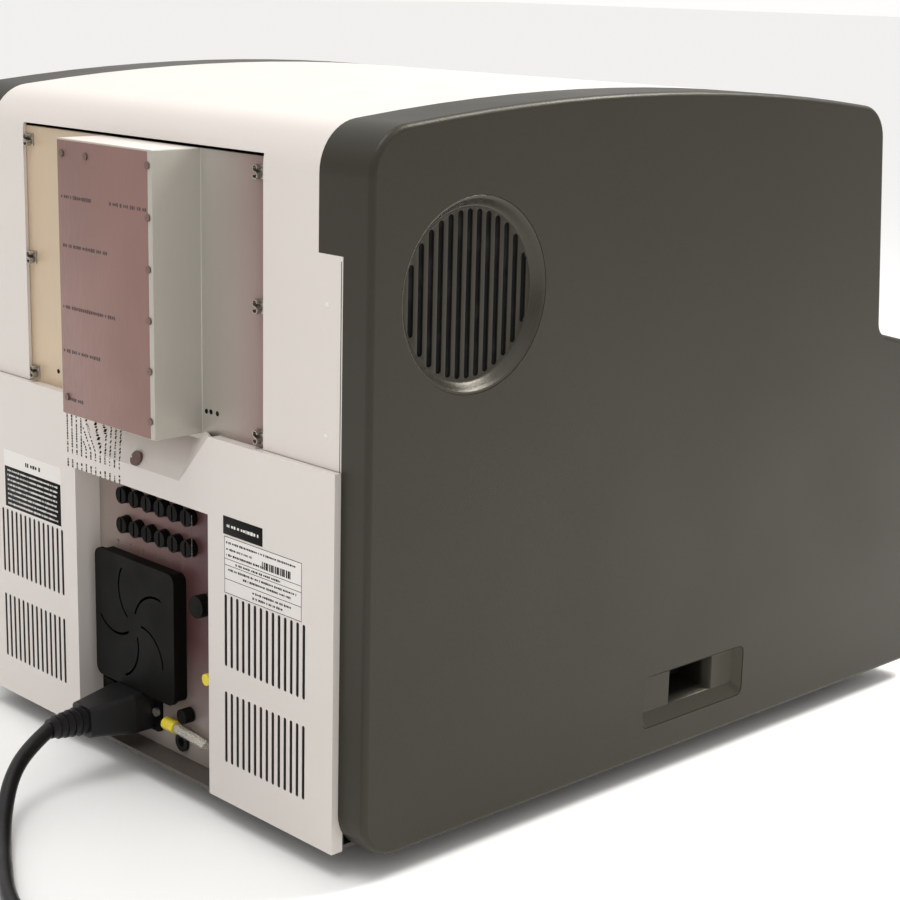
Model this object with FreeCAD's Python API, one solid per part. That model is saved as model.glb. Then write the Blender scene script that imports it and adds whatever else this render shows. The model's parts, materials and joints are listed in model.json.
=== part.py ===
"""Bench-top real-time PCR machine, built as an assembly of separate pieces.

Millimetres, +Z up. The origin is on the table under the middle of the machine.
The front, with its nose and flap, faces -Y. The rear covers face +Y.
"""
import FreeCAD, Part
import math
import os

V = FreeCAD.Vector
X_AXIS = V(1, 0, 0)
Y_AXIS = V(0, 1, 0)
Z_AXIS = V(0, 0, 1)

# Overall size
body_width = 471.0
body_height = 497.0
overall_depth = 662.0
foot_height = 17.0

# Sheets and running gaps
skin = 2.5
side_wall = 3.0
sheet = 2.0
plate = 3.0
seam = 0.5
seat_gap = 0.2
run_gap = 0.3

# Side profile
box_proud = 32.0
cover_proud = 5.0
dome_radius = 1900.0
dome_peak_y = 43.0
rear_corner = 32.0
front_corner = 27.0
front_arc_end_y = -195.0
step_y = -239.5
step_z = 303.5
step_corner = 12.0
front_lean = 5.2
nose_slope = 14.0
nose_corner = 22.0
foot_corner_front = 25.0
foot_corner_rear = 27.0

# Side panels
rim_upper = 48.0
rim_lower = 25.0
rim_change_z = 404.0
panel_edge_round = 4.0
boss_radius = 7.0
chassis_inset = 49.5

# Round vent in the side panel
vent_from_rear = 87.5
vent_from_top = 121.4
vent_radius = 63.0
grille_radius = 55.0
grille_depth = 8.0
grille_slots = 13
grille_pitch = 8.14
grille_slot_width = 3.8
side_fan_size = 120.0
side_fan_depth = 25.0

# Lifting recess
recess_y = -31.0
recess_z = 60.0
recess_length = 115.0
recess_height = 40.0
recess_depth = 6.0
pocket_y = -33.0
pocket_z = 63.0
pocket_length = 50.0
pocket_height = 28.0
pocket_depth = 34.0

# Rear lower cover
cover_top_z = 270.0
bay_half_width = 80.0
bay_top_z = 216.5
bay_depth = 21.0
dent_z = 233.0
dent_depth = 18.0
dent_half_width = 48.0
dent_flare = 34.0
bolt_x = 3.8
bolt_z = 238.0
bolt_radius = 5.3
bolt_proud = 2.4
vent_first_x = 99.3
vent_pitch = 6.3
vent_columns = 14
vent_width = 2.8
vent_rows = ((46.0, 97.0), (115.0, 165.6))

# Hood opening and electronics cover
opening_left_x = -133.0
opening_right_x = 146.0
opening_top_z = 459.6
box_left_x = -64.5
box_right_x = 43.5
box_top_z = 457.7
box_sheet = 1.5
screw_head = 0.8
screw_radius = 2.4
clip_count = 3
clip_inset = 6.0
clip_from_end = 7.0
clip_from_top = 12.0
box_screw_count = 6
box_screw_from_end = 10.0
frame_top_z = 455.0
board_half = 112.0
board_low_z = 282.0
board_high_z = 438.0
board_standoff = 18.0

# Connector bay
fuse_count = 6
fuse_first_x = -33.5
fuse_pitch = 15.6
fuse_rows_z = (178.8, 201.0)
fuse_cap_radius = 6.2
fan_x = 21.5
fan_z = 110.0
fan_size = 95.0
fan_front_depth = 8.5
fan_bore_radius = 42.5
fan_hub_radius = 18.0
rear_fan_depth = 25.4
guard_size = 97.5
guard_corner = 7.0
guard_depth = 3.4
guard_face = 1.4
guard_wall = 3.0
guard_slots = 5
guard_slot_width = 1.8
guard_sweep = 27.0
guard_eye = 9.0
inlet_x = 28.5
inlet_z = 46.0
inlet_flange = 2.5
inlet_screw_x = 21.3
switch_x = 66.0
rocker_pivot_depth = 2.0
rocker_half_tip = 8.0
grommet_x = -21.0
grommet_z = 31.0
knob_places = ((-49.0, 141.0, 8.0), (-31.0, 55.0, 5.5))
cap_places = ((-11.0, 42.5), (-60.0, 91.0))
cap_length = 13.0
tube_radius = 3.6
tube_length = 35.0

# Thermal cycler, loader and lid
block_x = 60.0
block_foot_x = 42.0
block_foot_y = 62.0
block_foot_height = 12.0
block_half_x = 38.0
block_half_y = 56.0
rim_half_x = 48.0
rim_half_y = 70.0
well_plate_half_x = 43.5
well_plate_half_y = 64.5
window_half_x = 39.5
window_half_y = 58.0
camera_half = 36.0
camera_length = 66.0
camera_foot_half = 20.0
barrel_radius = 25.0
barrel_length = 62.0
block_y = -170.0
block_base_z = 166.0
block_top_z = 196.0
well_pitch = 9.0
well_radius = 2.8
well_depth = 12.0
carriage_z = 198.0
carriage_thick = 5.0
carriage_half = 74.0
carriage_rim = 6.0
carriage_reach = 50.0
carriage_tail = 190.0
loader_travel = 228.5
roller_radius = 8.0
lid_z = 220.0
lid_thick = 24.0
lid_travel = 9.0
lid_arm_offset = 84.0
guide_radius = 4.0
sink_half = 90.0
sink_depth = 160.0
sink_z = 150.0

# Feet and power supply
foot_inset_x = 65.5
foot_front_inset = 76.0
foot_rear_inset = 59.0
supply_inset = 10.0
supply_width = 156.0
supply_front_y = 96.0
supply_to_bay = 28.0
supply_top_z = 112.0

# Optics
shelf_z = 300.0
axis_z = 375.0
wheel_radius = 56.0
filter_orbit = 40.0
filter_radius = 12.0
wheel_hub = 2.0
emission_y = -72.0
lamp_inset = 61.0
lamp_half = 50.0
lamp_front_y = 96.0
lamp_top_z = 432.0
lamp_to_frame = 54.0
shelf_to_frame = 46.0
excitation_y = 28.0
tunnel_half = 20.0

# Front sheets and controls
front_back_y = -150.0
front_seam_z = 440.0
nose_seam_y = -262.0
button_x = 150.0
button_z = 345.0
button_radius = 11.0
button_proud = 2.5
button_length = 14.5
lens_x = 40.0
lens_z = 399.0
lens_length = 44.0
lens_height = 8.0
lens_gap = 0.15

# Front flap
flap_margin = 20.2
flap_bottom_z = 56.0
flap_top_z = 262.0
hinge_depth = 6.0
hinge_radius = 3.2
lug_inset = 15.0
lug_thick = 4.0
pin_radius = 1.6
pin_length = 13.0
pin_fit = 0.06
flap_rib_inset = 22.0
flap_rib_depth = 8.0

# Mains lead
cord_diameter = 11.0
plug_length = 50.0
relief_length = 27.0
wall_plug_radius = 18.0
cord_route = (
    (28.5, 357.8, 46.0), (23.0, 379.0, 38.5), (9.0, 401.0, 28.0), (-11.0, 419.0, 15.0),
    (-37.0, 436.0, 6.5), (-70.0, 455.0, 5.6), (-108.0, 475.0, 5.6), (-156.0, 489.0, 5.6),
    (-205.0, 487.0, 5.6),
)
tail_route = (
    (-205.0, 618.0, 27.6), (-170.0, 617.0, 25.5), (-136.0, 613.0, 21.5), (-103.0, 605.0, 18.2),
)
coil_x = -205.0
coil_y = 552.5
coil_turn_radius = 60.0
coil_columns = 2
coil_layers = 3

# Derived places
half_width = body_width / 2
cover_y = overall_depth / 2 - box_proud
rim_y = cover_y - cover_proud
nose_y = -overall_depth / 2
hood_upper_half = half_width - rim_upper - run_gap
hood_lower_half = half_width - rim_lower - run_gap
cover_half_width = hood_lower_half
panel_inner_x = half_width - side_wall
chassis_x = half_width - chassis_inset
wall_outer_x = chassis_x + sheet
vent_y = rim_y - vent_from_rear
vent_z = body_height - vent_from_top
flap_half_width = hood_lower_half - flap_margin
lug_x = flap_half_width - lug_inset
flap_rib_half = flap_half_width - flap_rib_inset
lamp_x = -chassis_x + lamp_inset
bay_y = cover_y - bay_depth
hood_back_y = rim_y - skin - seat_gap
frame_y = hood_back_y - box_sheet - seat_gap - plate
base_top_z = foot_height + plate
step_inset = skin + seat_gap
dent_ridge = dent_half_width + dent_flare
plug_face = inlet_flange + run_gap
roller_x = block_x + carriage_reach - 6.0
roller_y = block_y + carriage_half + run_gap + roller_radius
lid_arm_x = block_x - lid_arm_offset
emission_x = block_x + filter_orbit
excitation_x = lamp_x + filter_orbit
box_low_z = cover_top_z + seam
clip_heights = [box_low_z + clip_from_end + i * (opening_top_z - clip_from_top - box_low_z - clip_from_end)
                / (clip_count - 1) for i in range(clip_count)]
box_screw_heights = [box_low_z + box_screw_from_end
                     + i * (box_top_z - box_low_z - 2 * box_screw_from_end) / (box_screw_count - 1)
                     for i in range(box_screw_count)]
boss_places = (
    (rim_y - 32, 60), (rim_y - 22, body_height - 47), (40, body_height - 45),
    (-180, body_height - 57), (nose_y + 41, 60), (nose_y + 41, 240), (110, 60), (110, 250),
)


def box(x0, x1, y0, y1, z0, z1):
    """Block between two corners."""
    return Part.makeBox(x1 - x0, y1 - y0, z1 - z0, V(x0, y0, z0))


def rod(axis, start, radius, length):
    """Round bar from a start point along an axis."""
    return Part.makeCylinder(radius, length, V(*start), axis)


def fuse(shapes):
    """Join touching shapes into one clean solid."""
    whole = shapes[0]
    if len(shapes) > 1:
        whole = whole.fuse(list(shapes[1:]))
    return whole.removeSplitter()


def mirror_x(shape):
    """Copy of a shape on the other side of the machine."""
    return shape.mirror(V(0, 0, 0), X_AXIS)


def meet(point_a, dir_a, point_b, dir_b):
    """Point where two lines of the side profile cross."""
    cross = dir_a[0] * dir_b[1] - dir_a[1] * dir_b[0]
    dy = point_b[0] - point_a[0]
    dz = point_b[1] - point_a[1]
    step = (dy * dir_b[1] - dz * dir_b[0]) / cross
    return point_a[0] + dir_a[0] * step, point_a[1] + dir_a[1] * step


def profile_corners():
    """Corners (y, z, radius) of the side profile, anticlockwise from the rear foot."""
    arc_end_y = rim_y - rear_corner
    rear_angle = math.asin((arc_end_y - dome_peak_y) / dome_radius)
    front_angle = math.asin((dome_peak_y - front_arc_end_y) / dome_radius)
    centre_z = body_height - dome_radius
    rear_point = (arc_end_y, centre_z + dome_radius * math.cos(rear_angle))
    front_point = (front_arc_end_y, centre_z + dome_radius * math.cos(front_angle))
    rear_dir = (math.cos(rear_angle), -math.sin(rear_angle))
    front_dir = (math.cos(front_angle), math.sin(front_angle))
    lean = math.radians(front_lean)
    slope = math.radians(nose_slope)
    lean_dir = (math.sin(lean), math.cos(lean))
    slope_dir = (-math.cos(slope), -math.sin(slope))
    step = (step_y, step_z)
    rear_top = meet(rear_point, rear_dir, (rim_y, 0), (0, 1))
    apex = meet(rear_point, rear_dir, front_point, front_dir)
    front_top = meet(front_point, front_dir, step, lean_dir)
    nose_top = meet(step, slope_dir, (nose_y, 0), (0, 1))
    return [
        (rim_y, foot_height, foot_corner_rear),
        (rear_top[0], rear_top[1], rear_corner),
        (apex[0], apex[1], dome_radius),
        (front_top[0], front_top[1], front_corner),
        (step[0], step[1], step_corner),
        (nose_top[0], nose_top[1], nose_corner),
        (nose_y, foot_height, foot_corner_front),
    ]


def unit(a, b):
    """Direction from a to b in the profile plane."""
    length = math.hypot(b[0] - a[0], b[1] - a[1])
    return (b[0] - a[0]) / length, (b[1] - a[1]) / length


def inset_corners(corners, inset):
    """The same profile moved inwards, with its corner radii to match."""
    count = len(corners)
    moved = []
    for i in range(count):
        before, here, after = corners[i - 1], corners[i], corners[(i + 1) % count]
        dir_in = unit(before, here)
        dir_out = unit(here, after)
        line_in = (here[0] - dir_in[1] * inset, here[1] + dir_in[0] * inset)
        line_out = (here[0] - dir_out[1] * inset, here[1] + dir_out[0] * inset)
        y, z = meet(line_in, dir_in, line_out, dir_out)
        convex = dir_in[0] * dir_out[1] - dir_in[1] * dir_out[0] > 0
        moved.append((y, z, here[2] - inset if convex else here[2] + inset))
    return moved


def rounded_face(corners, x):
    """Face with rounded corners, standing in the plane at x."""
    count = len(corners)
    arcs = []
    for i in range(count):
        before, here, after = corners[i - 1], corners[i], corners[(i + 1) % count]
        dir_in = unit(before, here)
        dir_out = unit(here, after)
        turn = math.acos(max(-1.0, min(1.0, dir_in[0] * dir_out[0] + dir_in[1] * dir_out[1])))
        back = here[2] * math.tan(turn / 2)
        first = (here[0] - dir_in[0] * back, here[1] - dir_in[1] * back)
        last = (here[0] + dir_out[0] * back, here[1] + dir_out[1] * back)
        inward = unit((0, 0), (dir_out[0] - dir_in[0], dir_out[1] - dir_in[1]))
        sagitta = here[2] / math.cos(turn / 2) - here[2]
        middle = (here[0] + inward[0] * sagitta, here[1] + inward[1] * sagitta)
        arcs.append((V(x, *first), V(x, *middle), V(x, *last)))
    edges = []
    for i in range(count):
        edges.append(Part.Arc(*arcs[i]).toShape())
        edges.append(Part.makeLine(arcs[i][2], arcs[(i + 1) % count][0]))
    return Part.Face(Part.Wire(edges))


def profile_solid(inset, x0, x1):
    """The whole side profile, moved inwards, as a solid between two planes."""
    return rounded_face(inset_corners(profile_corners(), inset), x0).extrude(V(x1 - x0, 0, 0))


def profile_skin(x0, x1):
    """Sheet that follows the side profile all round."""
    return profile_solid(0, x0, x1).cut(profile_solid(skin, x0 - 1, x1 + 1))


def rounded_plate(x0, x1, y_mid, z_mid, length, height, radius):
    """Rounded rectangle, length along Y and height along Z, between two x planes."""
    corners = [
        (y_mid + length / 2, z_mid - height / 2, radius),
        (y_mid + length / 2, z_mid + height / 2, radius),
        (y_mid - length / 2, z_mid + height / 2, radius),
        (y_mid - length / 2, z_mid - height / 2, radius),
    ]
    return rounded_face(corners, x0).extrude(V(x1 - x0, 0, 0))


def rear_plate(y0, y1, x_mid, z_mid, width, height, radius):
    """Rounded rectangle, width along X and height along Z, between two y planes."""
    flat = rounded_plate(0, y1 - y0, 0, 0, width, height, radius)
    flat.rotate(V(0, 0, 0), Z_AXIS, 90)
    flat.translate(V(x_mid, y0, z_mid))
    return flat


def side_panel():
    """Right-hand panel: a dished moulding with a rim all round and fixing bosses."""
    start_x = half_width - rim_upper
    shell = profile_solid(0, start_x, half_width)
    outer = [e for e in shell.Edges if all(abs(v.X - half_width) < 1e-6 for v in e.Vertexes)]
    shell = shell.makeFillet(panel_edge_round, outer)
    shell = shell.cut(profile_solid(skin, start_x - 1, panel_inner_x))
    rim_cut = box(start_x - 1, half_width - rim_lower, nose_y - 1, cover_y + 1, 0, rim_change_z)
    shell = shell.cut(rim_cut)
    bosses = []
    for y, z in boss_places:
        bosses.append(rod(X_AXIS, (wall_outer_x + seat_gap, y, z), boss_radius,
                          panel_inner_x - wall_outer_x - seat_gap + 1))
    return fuse([shell] + bosses)


def recess_hole(x0, x1, grow):
    """Opening for the lifting recess."""
    return rounded_plate(x0, x1, recess_y, recess_z, recess_length + 2 * grow, recess_height + 2 * grow, 6)


def loader_hole(x0, x1, grow):
    """Opening that the plate loader passes through."""
    half = carriage_half + 8 + grow
    low = carriage_z - 10 - grow
    high = carriage_z + carriage_thick + carriage_rim + 8 + grow
    return rounded_plate(x0, x1, block_y, (low + high) / 2, 2 * half, high - low, 5)


def side_panel_right():
    panel = side_panel().cut(recess_hole(panel_inner_x - 1, half_width + 1, 0))
    return panel.cut(loader_hole(panel_inner_x - 1, half_width + 1, 0))


def side_panel_left():
    """Panel with the round vent, on the side that the picture shows."""
    panel = side_panel().cut(recess_hole(panel_inner_x - 1, half_width + 1, 0))
    panel = panel.cut(rod(X_AXIS, (panel_inner_x - 1, vent_y, vent_z), vent_radius, side_wall + 2))
    return mirror_x(panel)


def side_grille():
    """Dished round grille with upright slots, trapped behind the panel."""
    back_x = half_width - grille_depth
    rim_radius = vent_radius - run_gap
    body = rod(X_AXIS, (back_x, vent_y, vent_z), rim_radius, grille_depth)
    collar = rod(X_AXIS, (panel_inner_x - 2.4, vent_y, vent_z), vent_radius + 4, 2.3)
    dish = Part.makeCone(grille_radius, rim_radius - 0.8, grille_depth - sheet + 0.01,
                         V(back_x + sheet, vent_y, vent_z), X_AXIS)
    grille = fuse([body, collar]).cut(dish)
    cutters = []
    for i in range(grille_slots):
        offset = (i - (grille_slots - 1) / 2) * grille_pitch
        reach = math.sqrt((grille_radius - 3) ** 2 - offset ** 2)
        cutters.append(rounded_plate(back_x - 1, back_x + sheet + 1, vent_y + offset, vent_z,
                                     grille_slot_width, 2 * reach, grille_slot_width / 2 - 0.01))
    return mirror_x(grille.cut(cutters))


def lift_recess():
    """Shallow tray with a deeper finger pocket, set into the side panel."""
    floor_x = half_width - recess_depth
    tray = rounded_plate(floor_x - sheet, half_width, recess_y, recess_z,
                         recess_length - 2 * run_gap, recess_height - 2 * run_gap, 6)
    well = rounded_plate(floor_x, half_width + 1, recess_y, recess_z,
                         recess_length - 6, recess_height - 6, 4)
    flange = rounded_plate(floor_x - sheet, panel_inner_x - 0.1, recess_y, recess_z,
                           recess_length + 8, recess_height + 8, 8)
    pocket = rounded_plate(half_width - pocket_depth, floor_x, pocket_y, pocket_z,
                           pocket_length + 2 * sheet, pocket_height + 2 * sheet, 4)
    inside = rounded_plate(half_width - pocket_depth + sheet, half_width, pocket_y, pocket_z,
                           pocket_length, pocket_height, 3)
    return fuse([tray, flange, pocket]).cut(well).cut(inside)


def lift_recesses():
    right = lift_recess()
    return Part.makeCompound([right, mirror_x(right)])


def top_hood():
    """White sheet over the top, down the rear to the lower cover."""
    wide = profile_skin(-hood_lower_half, hood_lower_half)
    rear = wide.common(box(-half_width, half_width, 100, cover_y, cover_top_z + seam, rim_change_z))
    upper = profile_skin(-hood_upper_half, hood_upper_half)
    upper = upper.common(box(-half_width, half_width, nose_y, cover_y, rim_change_z, body_height + 5))
    front_off = box(-half_width, half_width, nose_y, front_back_y, 0, front_seam_z)
    hood = fuse([rear, upper]).cut(front_off)
    opening = box(opening_left_x, opening_right_x, vent_y, cover_y, 0, opening_top_z)
    return hood.cut(opening)


def front_face_frame():
    """Point and outward direction on the leaning front face at the controls' height."""
    lean = math.radians(front_lean)
    y = step_y + math.tan(lean) * (button_z - step_z)
    return V(0, y, button_z), V(0, -math.cos(lean), math.sin(lean))


def status_window(grow):
    """Blocks that mark the two status lenses on the front face."""
    spots = []
    half = lens_length / 2 + grow
    rise = lens_height / 2 + grow
    for side in (-1, 1):
        x = side * lens_x
        spots.append(box(x - half, x + half, nose_seam_y, front_back_y, lens_z - rise, lens_z + rise))
    return spots


def front_skin(half):
    return profile_skin(-half, half).common(
        box(-half_width, half_width, nose_y - 1, front_back_y, 0, body_height))


def front_panel():
    """Upper front sheet, down over the step to the top of the nose."""
    lower = front_skin(hood_lower_half).common(
        box(-half_width, half_width, nose_seam_y, front_back_y, flap_top_z, rim_change_z))
    upper = front_skin(hood_upper_half).common(
        box(-half_width, half_width, nose_seam_y, front_back_y, rim_change_z, front_seam_z - seam))
    point, out = front_face_frame()
    hole = Part.makeCylinder(button_radius + run_gap, 40, V(button_x, point.y, point.z) - out * 20, out)
    return fuse([lower, upper]).cut([hole] + status_window(lens_gap))


def status_lenses():
    """Two light bars that lie flush in the front sheet."""
    face = front_skin(hood_upper_half)
    return Part.makeCompound([face.common(spot) for spot in status_window(0)])


def load_button():
    """Round button that sends the plate loader out."""
    point, out = front_face_frame()
    start = V(button_x, point.y, point.z) - out * (button_length - button_proud)
    body = Part.makeCylinder(button_radius, button_length, start, out)
    tip = start + out * button_length
    top = [e for e in body.Edges if (e.BoundBox.Center - tip).Length < 0.5]
    return body.makeFillet(1.2, top[:1])


def nose_cover():
    """Front sheet of the nose, a frame round the flap."""
    sheet_part = front_skin(hood_lower_half).common(
        box(-half_width, half_width, nose_y - 1, nose_seam_y - seam, 0, step_z + 5))
    sheet_part = sheet_part.cut(box(-half_width, half_width, nose_y + foot_corner_front,
                                    -200, 0, 100))
    opening = box(-flap_half_width - seam, flap_half_width + seam, nose_y - 1, nose_y + 15,
                  flap_bottom_z - hinge_depth - seam, flap_top_z + seam)
    return sheet_part.cut(opening)


def hinge_point():
    return nose_y + hinge_depth, flap_bottom_z


def front_flap():
    """Flap over the cycler unit, hinged along its bottom edge."""
    y, z = hinge_point()
    panel = front_skin(flap_half_width).common(
        box(-half_width, half_width, nose_y - 1, nose_y + 15, z, flap_top_z))
    inner_y = nose_y + skin
    ribs = []
    for side in (-1, 1):
        x = side * (lug_x + lug_thick / 2)
        lug = fuse([
            rod(X_AXIS, (x - lug_thick / 2, y, z), hinge_radius, lug_thick),
            box(x - lug_thick / 2, x + lug_thick / 2, inner_y - 0.5, y + hinge_radius, z, z + 14),
        ])
        hole = rod(X_AXIS, (x - lug_thick, y, z), pin_radius + pin_fit, 2 * lug_thick)
        ribs.append(lug.cut(hole))
    for low in (z + 30, flap_top_z - 16):
        ribs.append(box(-flap_rib_half, flap_rib_half, inner_y - 0.5, inner_y + flap_rib_depth,
                        low, low + sheet))
    return fuse([panel] + ribs)


def flap_pins():
    """Two pins that carry the flap."""
    y, z = hinge_point()
    pins = []
    for side in (-1, 1):
        start = side * (lug_x + lug_thick + 0.5)
        pins.append(Part.makeCylinder(pin_radius, pin_length, V(start, y, z), V(-side, 0, 0)))
    return Part.makeCompound(pins)


def base_plate():
    """Steel floor of the machine, with the arms that hold the flap's pins."""
    y, z = hinge_point()
    half = cover_half_width - sheet - seat_gap
    plates = [box(-half, half, nose_y + foot_corner_front, cover_y - sheet, foot_height, base_top_z)]
    for side in (-1, 1):
        x = side * (lug_x - 0.5 - lug_thick / 2)
        post_y = nose_y + foot_corner_front
        arm = fuse([
            box(x - 2, x + 2, post_y, post_y + 14, base_top_z - 1, z + hinge_radius),
            box(x - 2, x + 2, y, post_y + 1, z - hinge_radius, z + hinge_radius),
            rod(X_AXIS, (x - 2, y, z), hinge_radius, 4),
        ])
        plates.append(arm.cut(rod(X_AXIS, (x - 3, y, z), pin_radius, 6)))
    return fuse(plates)


def feet():
    """Four rubber feet, each with its screw boss."""
    group = []
    for x in (foot_inset_x - half_width, half_width - foot_inset_x):
        for y in (nose_y + foot_front_inset, rim_y - foot_rear_inset):
            pad = Part.makeCone(18, 21, foot_height, V(x, y, 0), Z_AXIS)
            group.append(pad.cut(rod(Z_AXIS, (x, y, -1), 5, 7)))
    return Part.makeCompound(group)


def chassis_wall():
    """Right-hand inner wall that carries the covers, the shelf and the rails."""
    wall = profile_solid(step_inset, chassis_x, wall_outer_x)
    wall = wall.common(box(0, half_width, nose_y + foot_corner_front, frame_y - seat_gap,
                           base_top_z, body_height))
    service = rounded_plate(chassis_x - 1, wall_outer_x + 1, 5, 155, 150, 110, 12)
    return wall.cut(service)


def chassis_wall_right():
    return chassis_wall().cut(loader_hole(chassis_x - 1, wall_outer_x + 1, -1))


def chassis_wall_left():
    hole = rod(X_AXIS, (chassis_x - 1, vent_y, vent_z), side_fan_size / 2 - 4, sheet + 2)
    return mirror_x(chassis_wall().cut(hole))


def rear_frame():
    """Rear plate of the chassis, open behind the connector bay and the boards."""
    half = cover_half_width - sheet - seat_gap
    frame = box(-half, half, frame_y, frame_y + plate, base_top_z, frame_top_z)
    bay = box(-bay_half_width - 4, bay_half_width + 4, frame_y - 1, cover_y, 0, cover_top_z + 3)
    boards = rear_plate(frame_y - 1, frame_y + plate + 1, 0, (board_low_z + board_high_z) / 2,
                        2 * board_half - 4, board_high_z - board_low_z - 16, 8)
    return frame.cut([bay, boards])


def dent_slope(z):
    """How far the pressed-in wedge lies behind the cover's face at a height."""
    return dent_depth * (z - dent_z) / (cover_top_z - dent_z)


def dent_wedge(shift):
    """Pressed-in wedge at the middle of the lower cover, moved along Y by shift."""
    top = cover_top_z + 1
    face_y = cover_y + shift
    deep_y = face_y - dent_slope(top)
    a = V(-dent_half_width, face_y, dent_z)
    b = V(dent_half_width, face_y, dent_z)
    c = V(dent_half_width, deep_y, top)
    d = V(-dent_half_width, deep_y, top)
    e = V(-dent_ridge, face_y, top)
    f = V(dent_ridge, face_y, top)
    rings = [(a, b, c, d), (a, d, e), (b, f, c), (e, d, c, f), (a, e, f, b)]
    faces = [Part.Face(Part.makePolygon(list(ring) + [ring[0]])) for ring in rings]
    wedge = Part.Solid(Part.Shell(faces))
    if wedge.Volume < 0:
        wedge.reverse()
    return wedge


def dent_cut():
    """The wedge with a thin layer in front, so that it cuts the cover's face away."""
    front = dent_wedge(0)
    return front.fuse(front.translated(V(0, 0.5, 0)))


def rear_lower_cover():
    """White rear cover with slotted vents, the bay opening and the dent above it."""
    low_z = foot_height
    inner_y = cover_y - sheet
    back_y = frame_y + plate + seat_gap
    face = box(-cover_half_width, cover_half_width, inner_y, cover_y, low_z, cover_top_z)
    face = face.cut(box(-bay_half_width, bay_half_width, 0, cover_y + 1, 0, bay_top_z))
    side = cover_half_width - sheet
    returns = [
        box(side, cover_half_width, back_y, inner_y + 0.5, low_z, cover_top_z),
        box(bay_half_width, bay_half_width + sheet, bay_y + seat_gap, inner_y + 0.5,
            base_top_z, bay_top_z + sheet),
        box(dent_ridge + 1, side + 1, back_y, inner_y + 0.5, cover_top_z - sheet, cover_top_z),
    ]
    returns += [mirror_x(piece) for piece in returns]
    hem = box(-bay_half_width - sheet, bay_half_width + sheet, bay_y + seat_gap, inner_y + 0.5,
              bay_top_z, bay_top_z + sheet)
    dent = dent_wedge(-sheet).common(box(-half_width, half_width, 0, cover_y, 0, cover_top_z))
    cover = fuse([face, hem, dent] + returns).cut(dent_cut())
    slots = []
    for row in vent_rows:
        for i in range(vent_columns):
            x = vent_first_x + i * vent_pitch
            slot = rear_plate(inner_y - 1, cover_y + 1, x, (row[0] + row[1]) / 2,
                              vent_width, row[1] - row[0], vent_width / 2 - 0.01)
            slots.append(slot)
            slots.append(mirror_x(slot))
    return cover.cut(slots)


def electronics_cover():
    """Hat-section metal cover over the control boards."""
    flange_y = hood_back_y - box_sheet
    face_y = cover_y + box_proud - screw_head
    low_z = box_low_z
    left, right = opening_left_x, opening_right_x
    flange = box(left - 4, right + 4, flange_y, hood_back_y, low_z, clip_heights[-1])
    upper = box(left + run_gap, right - run_gap, flange_y, hood_back_y, low_z, box_top_z)
    outer = box(box_left_x, box_right_x, flange_y, face_y, low_z, box_top_z)
    inner = box(box_left_x + box_sheet, box_right_x - box_sheet, flange_y - 1, face_y - box_sheet,
                low_z + box_sheet, box_top_z - box_sheet)
    holes = []
    for x, z in ((-69.0, 284), (-74.0, 284.4), (-81.0, 284.4), (110.7, 282)):
        holes.append(rod(Y_AXIS, (x, flange_y - 1, z), 1.7, 4))
    return fuse([flange, upper, outer]).cut([inner] + holes)


def cover_clips():
    """Six spring clips that hold the electronics cover at the hood's opening."""
    group = []
    for side, edge in ((-1, opening_left_x), (1, opening_right_x)):
        for z in clip_heights:
            x = edge - side * clip_inset
            foot = box(x - 5, x + 5, hood_back_y, hood_back_y + 1.2, z - 5, z + 5)
            curl = rod(Z_AXIS, (x + side * 1.5, hood_back_y + 3, z - 4), 2.2, 8)
            slot = rod(Z_AXIS, (x + side * 1.5, hood_back_y + 3, z - 5), 1.3, 10)
            group.append(fuse([foot, curl.cut(slot)]))
    return Part.makeCompound(group)


def machine_screws():
    """Screws of the electronics cover, the inlet flange, the fan and the lower cover."""
    group = []
    head_y = cover_y + box_proud - screw_head
    for z in box_screw_heights:
        group.append(rod(Y_AXIS, (box_left_x + 4, head_y, z), screw_radius, screw_head))
    for x, z in ((box_right_x - 5, box_screw_heights[0]), (box_right_x - 5, box_screw_heights[-1]),
                 (10, box_screw_heights[-1])):
        group.append(rod(Y_AXIS, (x, head_y, z), screw_radius, screw_head))
    for side in (-1, 1):
        spot = (inlet_x + side * inlet_screw_x, bay_y + inlet_flange, inlet_z)
        group.append(rod(Y_AXIS, spot, 3.2, 2.2))
    for sx in (-1, 1):
        for sz in (-1, 1):
            spot = (fan_x + sx * 41, bay_y + fan_front_depth + 0.1, fan_z + sz * 41)
            group.append(rod(Y_AXIS, spot, 3.4, 1.2))
    out = V(0, cover_top_z - dent_z, dent_depth).normalize()
    seat = V(bolt_x, cover_y - dent_slope(bolt_z), bolt_z) + out * 0.1
    bolt = Part.makeCylinder(bolt_radius, bolt_proud, seat, out)
    slot = Part.makeBox(2 * bolt_radius, 1.2, 2, V(-bolt_radius, -0.6, 0))
    slot.Placement = FreeCAD.Placement(seat + out * 1.4, FreeCAD.Rotation(Z_AXIS, out))
    group.append(bolt.cut(slot))
    return Part.makeCompound(group)


def fuse_places():
    return [(fuse_first_x + i * fuse_pitch, z) for z in fuse_rows_z for i in range(fuse_count)]


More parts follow.
